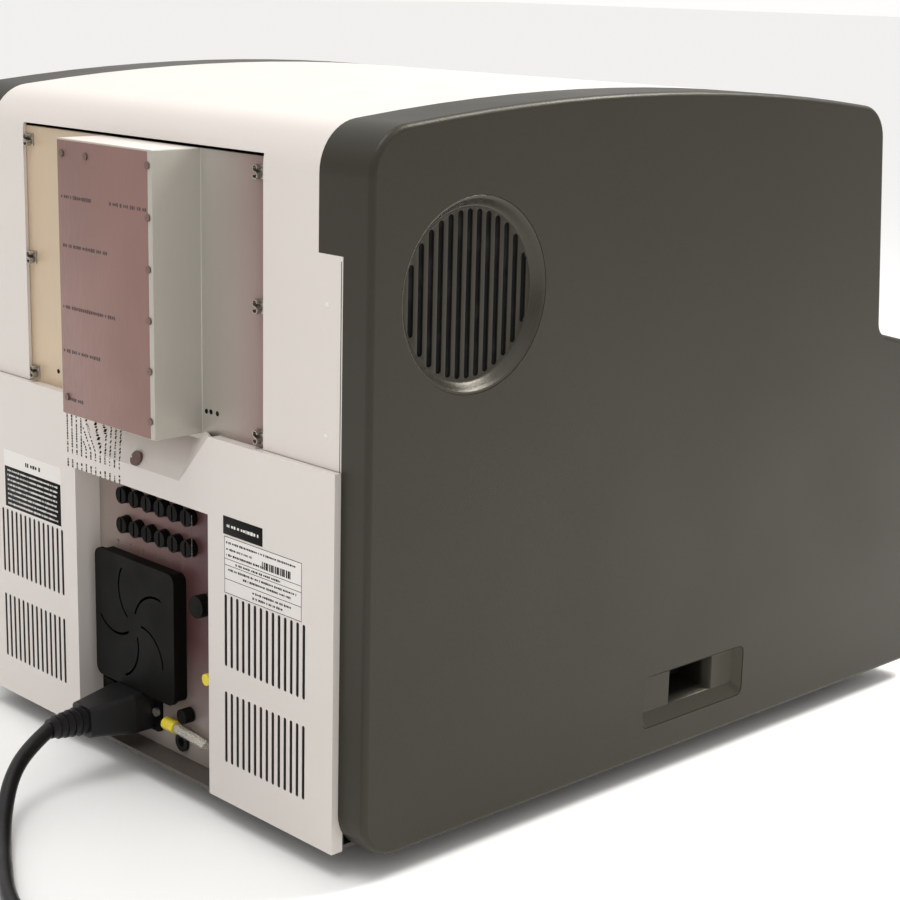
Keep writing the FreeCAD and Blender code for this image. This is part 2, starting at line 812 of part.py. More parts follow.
def connector_panel():
    """Metal back plate of the connector bay, with its cut-outs."""
    half = bay_half_width + 12
    flange_y = frame_y - seat_gap
    panel = fuse([
        box(-half, half, bay_y - sheet, bay_y, base_top_z, bay_top_z + 16),
        box(half - sheet, half, bay_y - sheet, flange_y, base_top_z, bay_top_z + 16),
        box(-half, -half + sheet, bay_y - sheet, flange_y, base_top_z, bay_top_z + 16),
    ])
    y0 = bay_y - sheet - 1
    cuts = [rod(Y_AXIS, (x, y0, z), 5.4, 4) for x, z in fuse_places()]
    cuts.append(rod(Y_AXIS, (fan_x, y0, fan_z), fan_bore_radius + 2.5, 4))
    cuts.append(rear_plate(y0, y0 + 4, inlet_x, inlet_z, 34.6, 28.6, 3))
    cuts.append(rear_plate(y0, y0 + 4, switch_x, inlet_z, 19.6, 27.6, 2))
    cuts.append(rod(Y_AXIS, (grommet_x, y0, grommet_z), 5.2, 4))
    for x, z, radius in knob_places:
        cuts.append(rod(Y_AXIS, (x, y0, z), 3.1, 4))
    for x, z in cap_places:
        cuts.append(rod(Y_AXIS, (x, y0, z), 2.1, 4))
    return panel.cut(cuts)


def fuse_holders():
    """Twelve fuse holder barrels with their front flanges."""
    group = []
    for x, z in fuse_places():
        flange = rod(Y_AXIS, (x, bay_y, z), fuse_cap_radius + 0.4, 1.2)
        barrel = rod(Y_AXIS, (x, bay_y - 24, z), 5.2, 24.5)
        bore = rod(Y_AXIS, (x, bay_y - 20, z), 4.1, 30)
        group.append(fuse([flange, barrel]).cut(bore))
    return Part.makeCompound(group)


def fuse_caps():
    """Screw-in fuse caps, each with a coin slot."""
    group = []
    for x, z in fuse_places():
        head = rod(Y_AXIS, (x, bay_y + 1.2 + seat_gap, z), fuse_cap_radius, 4.6)
        stem = rod(Y_AXIS, (x, bay_y - 12, z), 3.8, 14)
        slot = box(x - 0.9, x + 0.9, bay_y + 4.6, bay_y + 7, z - 5, z + 5)
        group.append(fuse([head, stem]).cut(slot))
    return Part.makeCompound(group)


def axial_fan(size, depth, bore, hub, flange):
    """Fan frame and rotor standing at the origin, blowing along +Y from y = 0."""
    front = rear_plate(depth - flange, depth, 0, 0, size, size, 6)
    barrel = rod(Y_AXIS, (0, 0, 0), bore + 2, depth - flange + 0.5)
    frame = fuse([front, barrel]).cut(rod(Y_AXIS, (0, -1, 0), bore, depth + 2))
    seat = [rod(Y_AXIS, (0, 0, 0), hub, 3)]
    for i in range(4):
        arm = box(-2, 2, 0, 3, 0, bore + 1)
        arm.rotate(V(0, 0, 0), Y_AXIS, 45 + 90 * i)
        seat.append(arm)
    frame = fuse([frame] + seat)
    hub_solid = rod(Y_AXIS, (0, 3 + run_gap, 0), hub, depth - 5)
    blades = []
    for i in range(7):
        blade = box(-1.1, 1.1, -depth * 0.42, depth * 0.42, hub - 3, bore)
        blade.rotate(V(0, 0, 0), Z_AXIS, 48)
        blade.translate(V(0, depth / 2 + 1, 0))
        blade.rotate(V(0, 0, 0), Y_AXIS, 360 / 7 * i)
        blades.append(blade)
    sweep = rod(Y_AXIS, (0, 3 + run_gap, 0), bore - 1.5, depth - 5)
    rotor = fuse([hub_solid] + [blade.common(sweep) for blade in blades])
    return frame, rotor


def placed(shape, quarter_turn, x, y, z):
    """Turn a shape about Z, then move it."""
    copy = shape.copy()
    copy.rotate(V(0, 0, 0), Z_AXIS, quarter_turn)
    copy.translate(V(x, y, z))
    return copy


def guard_slot(y0, y1):
    """One curved slot of the fan guard, from its eye out to the fan's bore, at the origin."""
    ring = rod(Y_AXIS, (-guard_sweep, y0, 0), guard_sweep + guard_slot_width / 2, y1 - y0)
    ring = ring.cut(rod(Y_AXIS, (-guard_sweep, y0, 0), guard_sweep - guard_slot_width / 2, y1 - y0))
    swept = rod(Y_AXIS, (0, y0, 0), fan_bore_radius, y1 - y0).cut(rod(Y_AXIS, (0, y0, 0), guard_eye, y1 - y0))
    return ring.common(swept).common(box(-fan_size, fan_size, y0, y1, 0, fan_size))


def fan_guard():
    """Snap-on guard over the fan: a shallow shell whose face is slit by curved slots."""
    y0 = bay_y + fan_front_depth + 0.1
    y1 = y0 + guard_depth
    inside = guard_size - 2 * guard_wall
    shell = rear_plate(y0, y1, fan_x, fan_z, guard_size, guard_size, guard_corner)
    hollow = rear_plate(y0 - 1, y1 - guard_face, fan_x, fan_z, inside, inside, guard_corner - guard_wall)
    slots = []
    for i in range(guard_slots):
        slot = guard_slot(y1 - guard_face - 1, y1 + 1)
        slot.rotate(V(0, 0, 0), Y_AXIS, 360 / guard_slots * i)
        slot.translate(V(fan_x, 0, fan_z))
        slots.append(slot)
    return shell.cut([hollow] + slots)


def rear_fan():
    """Rear fan's frame and rotor, standing out of the connector panel."""
    frame, rotor = axial_fan(fan_size, rear_fan_depth, fan_bore_radius, fan_hub_radius,
                             fan_front_depth)
    y = bay_y + fan_front_depth + 0.1 - rear_fan_depth
    return [placed(shape, 0, fan_x, y, fan_z) for shape in (frame, rotor)]


def side_fan():
    frame, rotor = axial_fan(side_fan_size, side_fan_depth, side_fan_size / 2 - 5, 22.0, 8.0)
    x = -wall_outer_x - seat_gap
    return [placed(shape, 90, x, vent_y, vent_z) for shape in (frame, rotor)]


def mains_socket():
    """Mains inlet with its flange and the cavity that takes the plug."""
    flange = rear_plate(bay_y, bay_y + inlet_flange, inlet_x, inlet_z, 50, 31, 4)
    body = rear_plate(bay_y - 30, bay_y + 1, inlet_x, inlet_z, 34, 28, 2.5)
    cavity = rear_plate(bay_y - 18, bay_y + 3, inlet_x, inlet_z, 29, 23, 2)
    pins = []
    for x, z in ((-7, -4), (7, -4), (0, 5)):
        pins.append(box(inlet_x + x - 1, inlet_x + x + 1, bay_y - 20, bay_y - 2,
                        inlet_z + z - 3, inlet_z + z + 3))
    return fuse([fuse([flange, body]).cut(cavity)] + pins)


def switch_bezel():
    """Housing of the mains switch."""
    flange = rear_plate(bay_y, bay_y + 2, switch_x, inlet_z, 23, 31, 3)
    body = rear_plate(bay_y - 16, bay_y + 1, switch_x, inlet_z, 19, 27, 1.5)
    cavity = box(switch_x - 7.5, switch_x + 7.5, bay_y - 14, bay_y + 5, inlet_z - 11.5, inlet_z + 11.5)
    return fuse([flange, body]).cut(cavity)


def mains_inlet():
    """Inlet and switch housing, side by side on the connector panel."""
    return Part.makeCompound([mains_socket(), switch_bezel()])


def mains_rocker():
    """Rocker of the mains switch, tipped to its off side."""
    block = box(switch_x - 7, switch_x + 7, bay_y - 7, bay_y + 4.5, inlet_z - 10.4, inlet_z + 10.4)
    dish = rod(X_AXIS, (switch_x - 8, bay_y + 32.0, inlet_z), 30.0, 16)
    rocker = block.cut(dish)
    rocker.rotate(V(switch_x, bay_y - rocker_pivot_depth, inlet_z), X_AXIS, -rocker_half_tip)
    return rocker


def drain_caps():
    """Two yellow caps on the connector panel's drain stubs."""
    group = []
    x, z = cap_places[0]
    stub = rod(Y_AXIS, (x, bay_y - 3, z), 2.0, 7)
    cap = rod(V(-1, 0, 0), (x + 4, bay_y + 5.2, z), 4.6, cap_length)
    group.append(fuse([stub, cap]))
    x, z = cap_places[1]
    group.append(fuse([rod(Y_AXIS, (x, bay_y - 3, z), 2.0, 7), rod(Y_AXIS, (x, bay_y, z), 4.2, 9)]))
    return Part.makeCompound(group)


def drain_tube():
    """Short clear tube pushed against the first cap."""
    x, z = cap_places[0]
    start = V(x + 4 - cap_length - 0.4, bay_y + 5.2, z)
    direction = V(-34, 0, -3)
    tube = Part.makeCylinder(tube_radius, tube_length, start, direction)
    return tube.cut(Part.makeCylinder(tube_radius - 1, tube_length + 5, start + V(1, 0, 0), direction))


def cable_grommet():
    """Black rubber grommet in the connector panel."""
    ring = fuse([rod(Y_AXIS, (grommet_x, bay_y, grommet_z), 7.0, 2.2),
                 rod(Y_AXIS, (grommet_x, bay_y - 5, grommet_z), 5.0, 6)])
    return ring.cut(rod(Y_AXIS, (grommet_x, bay_y - 3, grommet_z), 3.4, 10))


def thumb_screws():
    """Two black knobs on threaded stems."""
    group = []
    for x, z, radius in knob_places:
        knob = rod(Y_AXIS, (x, bay_y + 1, z), radius, 8)
        collar = rod(Y_AXIS, (x, bay_y, z), radius * 0.6, 2)
        stem = rod(Y_AXIS, (x, bay_y - 8, z), 2.9, 10)
        group.append(fuse([knob, collar, stem]))
    return Part.makeCompound(group)


def power_plug():
    """Moulded plug in the mains inlet."""
    y0 = bay_y + plug_face
    nose = rear_plate(bay_y - 1.6, y0 + 1, inlet_x, inlet_z, 28, 22, 2)
    head = rear_plate(y0, y0 + 16, inlet_x, inlet_z, 35, 30, 4)
    wide = rounded_face([(17.5, -15, 4), (17.5, 15, 4), (-17.5, 15, 4), (-17.5, -15, 4)], 0)
    slim = rounded_face([(12, -11, 4), (12, 11, 4), (-12, 11, 4), (-12, -11, 4)], plug_length - 16)
    taper = Part.makeLoft([wide.OuterWire, slim.OuterWire], True, True)
    taper.rotate(V(0, 0, 0), Z_AXIS, 90)
    taper.translate(V(inlet_x, y0 + 16, inlet_z))
    return fuse([nose, head, taper])


def relief_start():
    return bay_y + plug_face + plug_length


def strain_relief():
    """Ribbed tapered sleeve where the cord leaves the plug."""
    y0 = relief_start()
    core = Part.makeCone(9.5, 7.0, relief_length, V(inlet_x, y0, inlet_z), Y_AXIS)
    ribs = []
    for i in range(4):
        y = y0 + 2 + i * 5.5
        ribs.append(rod(Y_AXIS, (inlet_x, y, inlet_z), 10.6 - i * 0.7, 3))
    return fuse([core] + ribs)


def cord_wire(points):
    """Straight runs joined by tangent arcs, each arc as large as its runs allow."""
    edges = []
    last = points[0]
    for i in range(1, len(points) - 1):
        here = points[i]
        run_in = here - points[i - 1]
        run_out = points[i + 1] - here
        turn = run_in.getAngle(run_out)
        back = 0.45 * min(run_in.Length, run_out.Length)
        radius = back / math.tan(turn / 2)
        print("cord bend radius", round(radius, 1))
        first = here - run_in.normalize() * back
        final = here + run_out.normalize() * back
        inward = (run_out - run_in).normalize()
        middle = here + inward * (radius / math.cos(turn / 2) - radius)
        edges.append(Part.LineSegment(last, first).toShape())
        edges.append(Part.Arc(first, middle, final).toShape())
        last = final
    edges.append(Part.LineSegment(last, points[-1]).toShape())
    return Part.Wire(edges)


def cord_solid(route, name):
    """Round cord along a route."""
    points = [V(*point) for point in route]
    path = cord_wire(points)
    section = Part.Wire(Part.makeCircle(cord_diameter / 2, points[0], points[1] - points[0]))
    solid = path.makePipeShell([section], True, False)
    expected = math.pi * cord_diameter ** 2 / 4 * path.Length
    print(name, "length", round(path.Length, 1), "volume ratio", round(solid.Volume / expected, 4))
    return solid


def cord_tube():
    """The lead's two free stretches: plug to coil, and coil to wall plug."""
    return Part.makeCompound([cord_solid(cord_route, "lead"), cord_solid(tail_route, "tail")])


def cord_coil():
    """Outer shape of the put-away turns of the lead."""
    half = coil_columns * cord_diameter / 2
    height = coil_layers * cord_diameter
    outer = rod(Z_AXIS, (coil_x, coil_y, 0.1), coil_turn_radius + half, height)
    return outer.cut(rod(Z_AXIS, (coil_x, coil_y, -1), coil_turn_radius - half, height + 3))


def wall_plug():
    """Mains plug at the lead's far end, lying on the table."""
    a = V(*tail_route[-2])
    b = V(*tail_route[-1])
    out = V(b.x - a.x, b.y - a.y, 0).normalize()
    start = V(b.x, b.y, b.z)
    grip = Part.makeCone(8, 13, 22, start, out)
    disc = Part.makeCylinder(wall_plug_radius, 24, start + out * 21.5, out)
    side = V(-out.y, out.x, 0)
    pins = []
    for offset in (-9.5, 9.5):
        pins.append(Part.makeCylinder(2.4, 20, start + out * 45 + side * offset, out))
    return fuse([grip, disc] + pins)


def power_supply():
    """Closed power supply on the floor plate."""
    x0 = -chassis_x + supply_inset
    case = box(x0, x0 + supply_width, supply_front_y, bay_y - supply_to_bay, base_top_z, supply_top_z)
    return case.makeChamfer(2, [e for e in case.Edges if e.BoundBox.ZMin > supply_top_z - 1])


def main_board():
    """Control boards on stand-offs behind the electronics cover."""
    y = frame_y - board_standoff - sheet
    pieces = [box(-board_half, board_half, y, y + sheet, board_low_z, board_high_z)]
    for x in (-board_half + 3.5, board_half - 3.5):
        for z in (board_low_z + 4.5, board_high_z - 4.5):
            pieces.append(rod(Y_AXIS, (x, y + 1, z), 3, board_standoff + 1 - seat_gap))
    for x, z, w, h in ((-60, 330, 34, 34), (20, 390, 28, 20), (60, 320, 44, 16), (-30, 400, 20, 20)):
        pieces.append(box(x - w / 2, x + w / 2, y - 5, y + 1, z - h / 2, z + h / 2))
    return fuse(pieces)


def block_tray():
    """Pull-out tray that stands the cycler unit on the floor plate."""
    x0, x1 = block_x - sink_half, block_x + sink_half
    y0, y1 = block_y - sink_depth / 2, block_y + sink_depth / 2
    handle = fuse([box(block_x - 40, block_x + 40, y0 - 34, y0 - 26, 90, 98),
                   box(block_x - 40, block_x - 34, y0 - 30, y0 + 1, 90, 98),
                   box(block_x + 34, block_x + 40, y0 - 30, y0 + 1, 90, 98)])
    return fuse([
        box(x0, x1, y0, y1, base_top_z, base_top_z + 2),
        box(x0, x0 + 3, y0, y1, base_top_z, sink_z),
        box(x1 - 3, x1, y0, y1, base_top_z, sink_z),
        box(x0, x1, y0, y0 + 2, base_top_z, 112),
        handle,
    ])


def heat_sink():
    """Finned aluminium sink under the cycler block."""
    y0, y1 = block_y - sink_depth / 2, block_y + sink_depth / 2
    pieces = [box(block_x - sink_half, block_x + sink_half, y0, y1, sink_z, block_base_z - 4)]
    for i in range(17):
        x = block_x - 80 + i * 10
        pieces.append(box(x - 1.2, x + 1.2, y0 + 4, y1, 116, sink_z + 1))
    return fuse(pieces)


def peltier_modules():
    """Six heat pump modules between the sink and the block."""
    group = []
    for ix in (-20, 20):
        for iy in (-40, 0, 40):
            group.append(box(block_x + ix - 18, block_x + ix + 18, block_y + iy - 18, block_y + iy + 18,
                             block_base_z - 4, block_base_z))
    return Part.makeCompound(group)


def thermal_block():
    """Block with 96 wells for the plate."""
    block = fuse([
        box(block_x - block_foot_x, block_x + block_foot_x, block_y - block_foot_y,
            block_y + block_foot_y, block_base_z, block_base_z + block_foot_height),
        box(block_x - block_half_x, block_x + block_half_x, block_y - block_half_y,
            block_y + block_half_y, block_base_z + block_foot_height - 1, block_top_z),
    ])
    wells = []
    for ix in range(8):
        for iy in range(12):
            x = block_x + (ix - 3.5) * well_pitch
            y = block_y + (iy - 5.5) * well_pitch
            wells.append(Part.makeCone(well_radius * 0.6, well_radius, well_depth,
                                       V(x, y, block_top_z - well_depth), Z_AXIS))
    return block.cut(wells)


def loader_rails():
    """Two channel rails between the chassis walls that carry the plate loader."""
    x0, x1 = -chassis_x + seat_gap, chassis_x - seat_gap
    half = carriage_half
    rails = []
    for side in (-1, 1):
        web = half + run_gap + 0.1
        back = web + 3.4
        lip = carriage_z + carriage_thick + 0.4
        spans = [(half - 10, back, carriage_z - 8, carriage_z - run_gap),
                 (web, back, carriage_z - 1, lip + 2.6),
                 (half - 1.5, back, lip, lip + 2.6)]
        pieces = []
        for near_y, far_y, low, high in spans:
            ya, yb = sorted((block_y + side * near_y, block_y + side * far_y))
            pieces.append(box(x0, x1, ya, yb, low, high))
        rails.append(fuse(pieces))
    window = box(roller_x - 11, roller_x + 11, block_y + half - 3, block_y + half + 10,
                 carriage_z - 20, carriage_z + 20)
    rails[1] = rails[1].cut(window)
    return Part.makeCompound(rails)


def plate_loader():
    """Sliding carriage that carries the plate out through the right side."""
    top = carriage_z + carriage_thick
    x_out = block_x + carriage_reach
    x_tail = x_out - carriage_tail - 50
    base = box(x_tail, x_out, block_y - carriage_half, block_y + carriage_half, carriage_z, top)
    rim = box(block_x - rim_half_x, x_out, block_y - rim_half_y, block_y + rim_half_y,
              top - 0.5, top + carriage_rim)
    seat = box(block_x - well_plate_half_x, block_x + well_plate_half_x,
               block_y - well_plate_half_y, block_y + well_plate_half_y, top, top + 20)
    window = box(block_x - window_half_x, block_x + window_half_x,
                 block_y - window_half_y, block_y + window_half_y, carriage_z - 1, top + 1)
    relief = rear_plate(0, 20, 0, 0, 130, 100, 8)
    relief.rotate(V(0, 0, 0), X_AXIS, 90)
    relief.translate(V(block_x - 125, block_y, carriage_z - 5))
    return fuse([base, rim]).cut([seat, window, relief])


def drive_roller():
    """Rubber roller and shaft that drive the loader along its edge."""
    tyre = rod(Z_AXIS, (roller_x, roller_y, carriage_z - 1), roller_radius, carriage_thick + 2)
    shaft = rod(Z_AXIS, (roller_x, roller_y, carriage_z - 8 + 0.1), 2.5, 10)
    return fuse([tyre, shaft])


def loader_motor():
    """Flat stepper motor under the drive roller."""
    top = carriage_z - 8 - seat_gap
    body = box(roller_x - 17.5, roller_x + 17.5, roller_y - 17.5, roller_y + 17.5, top - 24, top)
    return body.makeChamfer(3, [e for e in body.Edges if e.BoundBox.ZLength > 20])


def lid_rod_places():
    return [(block_x + sx * 58, block_y + sy * 56) for sx in (-1, 1) for sy in (-1, 1)]


def heated_lid():
    """Heated lid with a viewing window, its guide bores and its lifting rod."""
    plate_part = box(block_x - 64, block_x + 64, block_y - 66, block_y + 66, lid_z + 6, lid_z + lid_thick)
    press = box(block_x - 46, block_x + 46, block_y - 62, block_y + 62, lid_z, lid_z + 7)
    window = box(block_x - 37, block_x + 37, block_y - 55, block_y + 55, lid_z - 1, lid_z + lid_thick + 1)
    arm = box(lid_arm_x - 6, block_x - 60, block_y - 8, block_y + 8, lid_z + 10, lid_z + 16)
    lift = rod(Z_AXIS, (lid_arm_x, block_y, lid_z + 14), 3, 38)
    lid = fuse([plate_part, press, arm, lift]).cut(window)
    bores = [rod(Z_AXIS, (x, y, lid_z - 1), guide_radius + 0.06, lid_thick + 2)
             for x, y in lid_rod_places()]
    return lid.cut(bores)


def lid_rods():
    """Four guide rods that hang from the optics shelf."""
    low = lid_z - lid_travel + 1
    return Part.makeCompound([rod(Z_AXIS, (x, y, low), guide_radius, shelf_z - low)
                              for x, y in lid_rod_places()])


def lid_actuator():
    """Linear drive on the shelf's underside that lifts and lowers the lid."""
    body = box(lid_arm_x - 15, lid_arm_x + 15, block_y - 15, block_y + 15, 256, shelf_z)
    return body.cut(rod(Z_AXIS, (lid_arm_x, block_y, 255), 3.06, 40))


def optics_shelf():
    """Shelf between the chassis walls that carries the optics."""
    half = chassis_x - seat_gap
    shelf = box(-half, half, step_y + 8, frame_y - shelf_to_frame, shelf_z, shelf_z + plate)
    return shelf.cut(rod(Z_AXIS, (block_x, block_y, shelf_z - 1), 42, plate + 2))


def field_lens():
    """Large lens over the block, lying on the shelf."""
    radius = 46.0
    ball = 140.0
    rim = rod(Z_AXIS, (block_x, block_y, shelf_z + plate), radius, 12)
    low = Part.makeSphere(ball, V(block_x, block_y, shelf_z + plate + 12 - ball))
    return rim.common(low)


def fold_mirror():
    """Mirror at 45 degrees on its bracket, between lens and camera."""
    glass = box(-52, 52, -58, 58, -2.5, 2.5)
    glass.rotate(V(0, 0, 0), X_AXIS, 45)
    glass.translate(V(block_x, block_y, axis_z))
    low = shelf_z + plate
    cheeks = []
    for side in (-1, 1):
        x = block_x + side * 54.6
        cheek = box(x - 2, x + 2, block_y - 43, block_y + 43, low, axis_z + 43)
        upper = box(x - 3, x + 3, -200, 200, 0, 200)
        upper.rotate(V(0, 0, 0), X_AXIS, 45)
        upper.translate(V(0, block_y, axis_z + 3.6))
        cheeks.append(cheek.cut(upper))
    return Part.makeCompound([glass] + cheeks)


def filter_wheel(x, y, hub_length):
    """Wheel with six filter holes, its axis along Y and its hub towards +Y."""
    wheel = fuse([rod(Y_AXIS, (x, y, axis_z), wheel_radius, 4),
                  rod(Y_AXIS, (x, y, axis_z), 10, 4 + hub_length)])
    holes = []
    for i in range(6):
        angle = math.radians(180 + 60 * i)
        holes.append(rod(Y_AXIS, (x + filter_orbit * math.cos(angle), y - 1,
                                  axis_z + filter_orbit * math.sin(angle)), filter_radius, 6))
    return wheel.cut(holes)


def emission_wheel():
    return filter_wheel(emission_x, emission_y, wheel_hub)


def excitation_wheel():
    return filter_wheel(excitation_x, excitation_y, wheel_hub)


def wheel_motors():
    """Stepper motors of the two filter wheels, on posts from the shelf."""
    group = []
    for x, y in ((emission_x, emission_y), (excitation_x, excitation_y)):
        start = y + 4 + wheel_hub + run_gap
        motor = rod(Y_AXIS, (x, start, axis_z), 12, 30)
        post = box(x - 6, x + 6, start + 6, start + 24, shelf_z + plate, axis_z - 6)
        group.append(fuse([motor, post]))
    return Part.makeCompound(group)


def camera():
    """Cooled camera with its lens barrel, looking forward along the optical axis."""
    y0 = emission_y + 10
    y1 = y0 + barrel_length
    barrel = rod(Y_AXIS, (block_x, y0, axis_z), barrel_radius, barrel_length + 2)
    body = box(block_x - camera_half, block_x + camera_half, y1, y1 + camera_length,
               axis_z - camera_half, axis_z + camera_half)
    foot = box(block_x - camera_foot_half, block_x + camera_foot_half, y1 + 8, y1 + camera_length - 8,
               shelf_z + plate, axis_z - camera_half + 1)
    return fuse([barrel, body, foot])


def lamp_housing():
    """Lamp house with cooling fins and its outlet tube."""
    case = box(lamp_x - lamp_half, lamp_x + lamp_half, lamp_front_y, frame_y - lamp_to_frame,
               shelf_z + plate, lamp_top_z)
    start = excitation_y + 8
    outlet = rod(Y_AXIS, (lamp_x, start, axis_z), 18, lamp_front_y - start + 1)
    grooves = []
    for i in range(9):
        y = lamp_front_y + 16 + i * 13
        grooves.append(box(lamp_x - lamp_half - 1, lamp_x + lamp_half + 1, y, y + 6,
                           lamp_top_z - 12, lamp_top_z + 1))
    return fuse([case, outlet]).cut(grooves)


def light_tunnel():
    """Square tunnel from the excitation wheel to the lens column."""
    y_end = excitation_y - run_gap
    x_end = block_x - 60
    half = tunnel_half
    bore = tunnel_half - side_wall
    low, high = axis_z - half, axis_z + half
    outer = fuse([box(lamp_x - half, lamp_x + half, block_y - half, y_end, low, high),
                  box(lamp_x - half, x_end, block_y - half, block_y + half, low, high)])
    low_bore, high_bore = axis_z - bore, axis_z + bore
    inner = fuse([box(lamp_x - bore, lamp_x + bore, block_y - bore, y_end + 1, low_bore, high_bore),
                  box(lamp_x - bore, x_end + 1, block_y - bore, block_y + bore, low_bore, high_bore)])
    posts = [box(lamp_x - 8, lamp_x + 8, y - 8, y + 8, shelf_z + plate, low + 1)
             for y in (block_y, -20)]
    return fuse([outer.cut(inner)] + posts)


def build():
    """Every piece, by the name of its node."""
    rear_frame_part, rear_rotor = rear_fan()
    side_frame_part, side_rotor = side_fan()
    return {
        "side_panel_left": side_panel_left(),
        "side_panel_right": side_panel_right(),
        "side_grille": side_grille(),
        "lift_recesses": lift_recesses(),
        "top_hood": top_hood(),
        "front_panel": front_panel(),
        "status_lenses": status_lenses(),
        "load_button": load_button(),
        "nose_cover": nose_cover(),
        "front_flap": front_flap(),
        "flap_pins": flap_pins(),
        "base_plate": base_plate(),
        "feet": feet(),
        "chassis_wall_left": chassis_wall_left(),
        "chassis_wall_right": chassis_wall_right(),
        "rear_frame": rear_frame(),
        "rear_lower_cover": rear_lower_cover(),
        "electronics_cover": electronics_cover(),
        "cover_clips": cover_clips(),
        "machine_screws": machine_screws(),
        "connector_panel": connector_panel(),
        "fuse_holders": fuse_holders(),
        "fuse_caps": fuse_caps(),
        "rear_fan_frame": Part.makeCompound([rear_frame_part, fan_guard()]),
        "rear_fan_rotor": rear_rotor,
        "side_fan_frame": side_frame_part,
        "side_fan_rotor": side_rotor,
        "mains_inlet": mains_inlet(),
        "mains_rocker": mains_rocker(),
        "drain_caps": drain_caps(),
        "drain_tube": drain_tube(),
        "cable_grommet": cable_grommet(),
        "thumb_screws": thumb_screws(),
        "power_plug": power_plug(),
        "strain_relief": strain_relief(),
        "cord_tube": cord_tube(),
        "cord_coil": cord_coil(),
        "wall_plug": wall_plug(),
        "power_supply": power_supply(),
        "main_board": main_board(),
        "block_tray": block_tray(),
        "heat_sink": heat_sink(),
        "peltier_modules": peltier_modules(),
        "thermal_block": thermal_block(),
        "loader_rails": loader_rails(),
        "plate_loader": plate_loader(),
        "drive_roller": drive_roller(),
        "loader_motor": loader_motor(),
        "heated_lid": heated_lid(),
        "lid_rods": lid_rods(),
        "lid_actuator": lid_actuator(),
        "optics_shelf": optics_shelf(),
        "field_lens": field_lens(),
        "fold_mirror": fold_mirror(),
        "emission_wheel": emission_wheel(),
        "excitation_wheel": excitation_wheel(),
        "wheel_motors": wheel_motors(),
        "camera": camera(),
        "lamp_housing": lamp_housing(),
        "light_tunnel": light_tunnel(),
    }


def main():
    os.makedirs("parts", exist_ok=True)
    for name, shape in build().items():
        if not shape.isValid():
            print("not valid:", name)
        shape.exportStep("parts/" + name + ".step")
        bounds = shape.BoundBox
        print(name, len(shape.Solids), [round(v, 1) for v in (
            bounds.XMin, bounds.XMax, bounds.YMin, bounds.YMax, bounds.ZMin, bounds.ZMax)])


main()
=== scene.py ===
"""Looks of the bench-top real-time PCR machine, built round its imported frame.

Metres, +Z up. The rear covers face +Y, the nose faces -Y, the round vent is on -X.
"""

import json
import logging
import math
import random
from dataclasses import dataclass, field
from enum import Enum
from typing import Iterable, Sequence

import bpy
from mathutils import Matrix, Vector

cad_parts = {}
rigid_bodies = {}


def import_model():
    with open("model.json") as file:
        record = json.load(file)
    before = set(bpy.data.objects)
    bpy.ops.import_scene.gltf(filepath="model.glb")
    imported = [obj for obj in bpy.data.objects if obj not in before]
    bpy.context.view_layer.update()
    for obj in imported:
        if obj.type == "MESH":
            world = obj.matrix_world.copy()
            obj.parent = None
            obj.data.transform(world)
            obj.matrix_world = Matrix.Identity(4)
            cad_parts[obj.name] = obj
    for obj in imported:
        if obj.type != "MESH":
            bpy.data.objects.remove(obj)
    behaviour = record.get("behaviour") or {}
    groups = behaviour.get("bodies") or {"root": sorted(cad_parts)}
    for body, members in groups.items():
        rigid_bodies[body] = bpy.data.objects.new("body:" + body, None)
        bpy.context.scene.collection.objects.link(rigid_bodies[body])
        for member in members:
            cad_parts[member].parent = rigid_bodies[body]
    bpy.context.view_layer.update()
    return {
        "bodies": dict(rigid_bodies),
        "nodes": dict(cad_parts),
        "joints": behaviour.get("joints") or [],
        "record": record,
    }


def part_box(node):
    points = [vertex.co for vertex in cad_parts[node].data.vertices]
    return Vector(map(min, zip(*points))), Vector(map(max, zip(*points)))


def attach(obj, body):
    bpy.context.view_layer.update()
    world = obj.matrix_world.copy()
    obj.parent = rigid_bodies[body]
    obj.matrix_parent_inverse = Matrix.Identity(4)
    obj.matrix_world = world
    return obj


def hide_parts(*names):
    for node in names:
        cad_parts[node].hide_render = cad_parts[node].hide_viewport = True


LOG = logging.getLogger("pcr_machine")
Point = tuple[float, float, float]
Colour = tuple[float, float, float]
Socket = bpy.types.NodeSocket


class Axis(Enum):
    """Directions that round pieces are made along."""

    X = (1.0, 0.0, 0.0)
    Y = (0.0, 1.0, 0.0)
    Z = (0.0, 0.0, 1.0)
    MINUS_X = (-1.0, 0.0, 0.0)


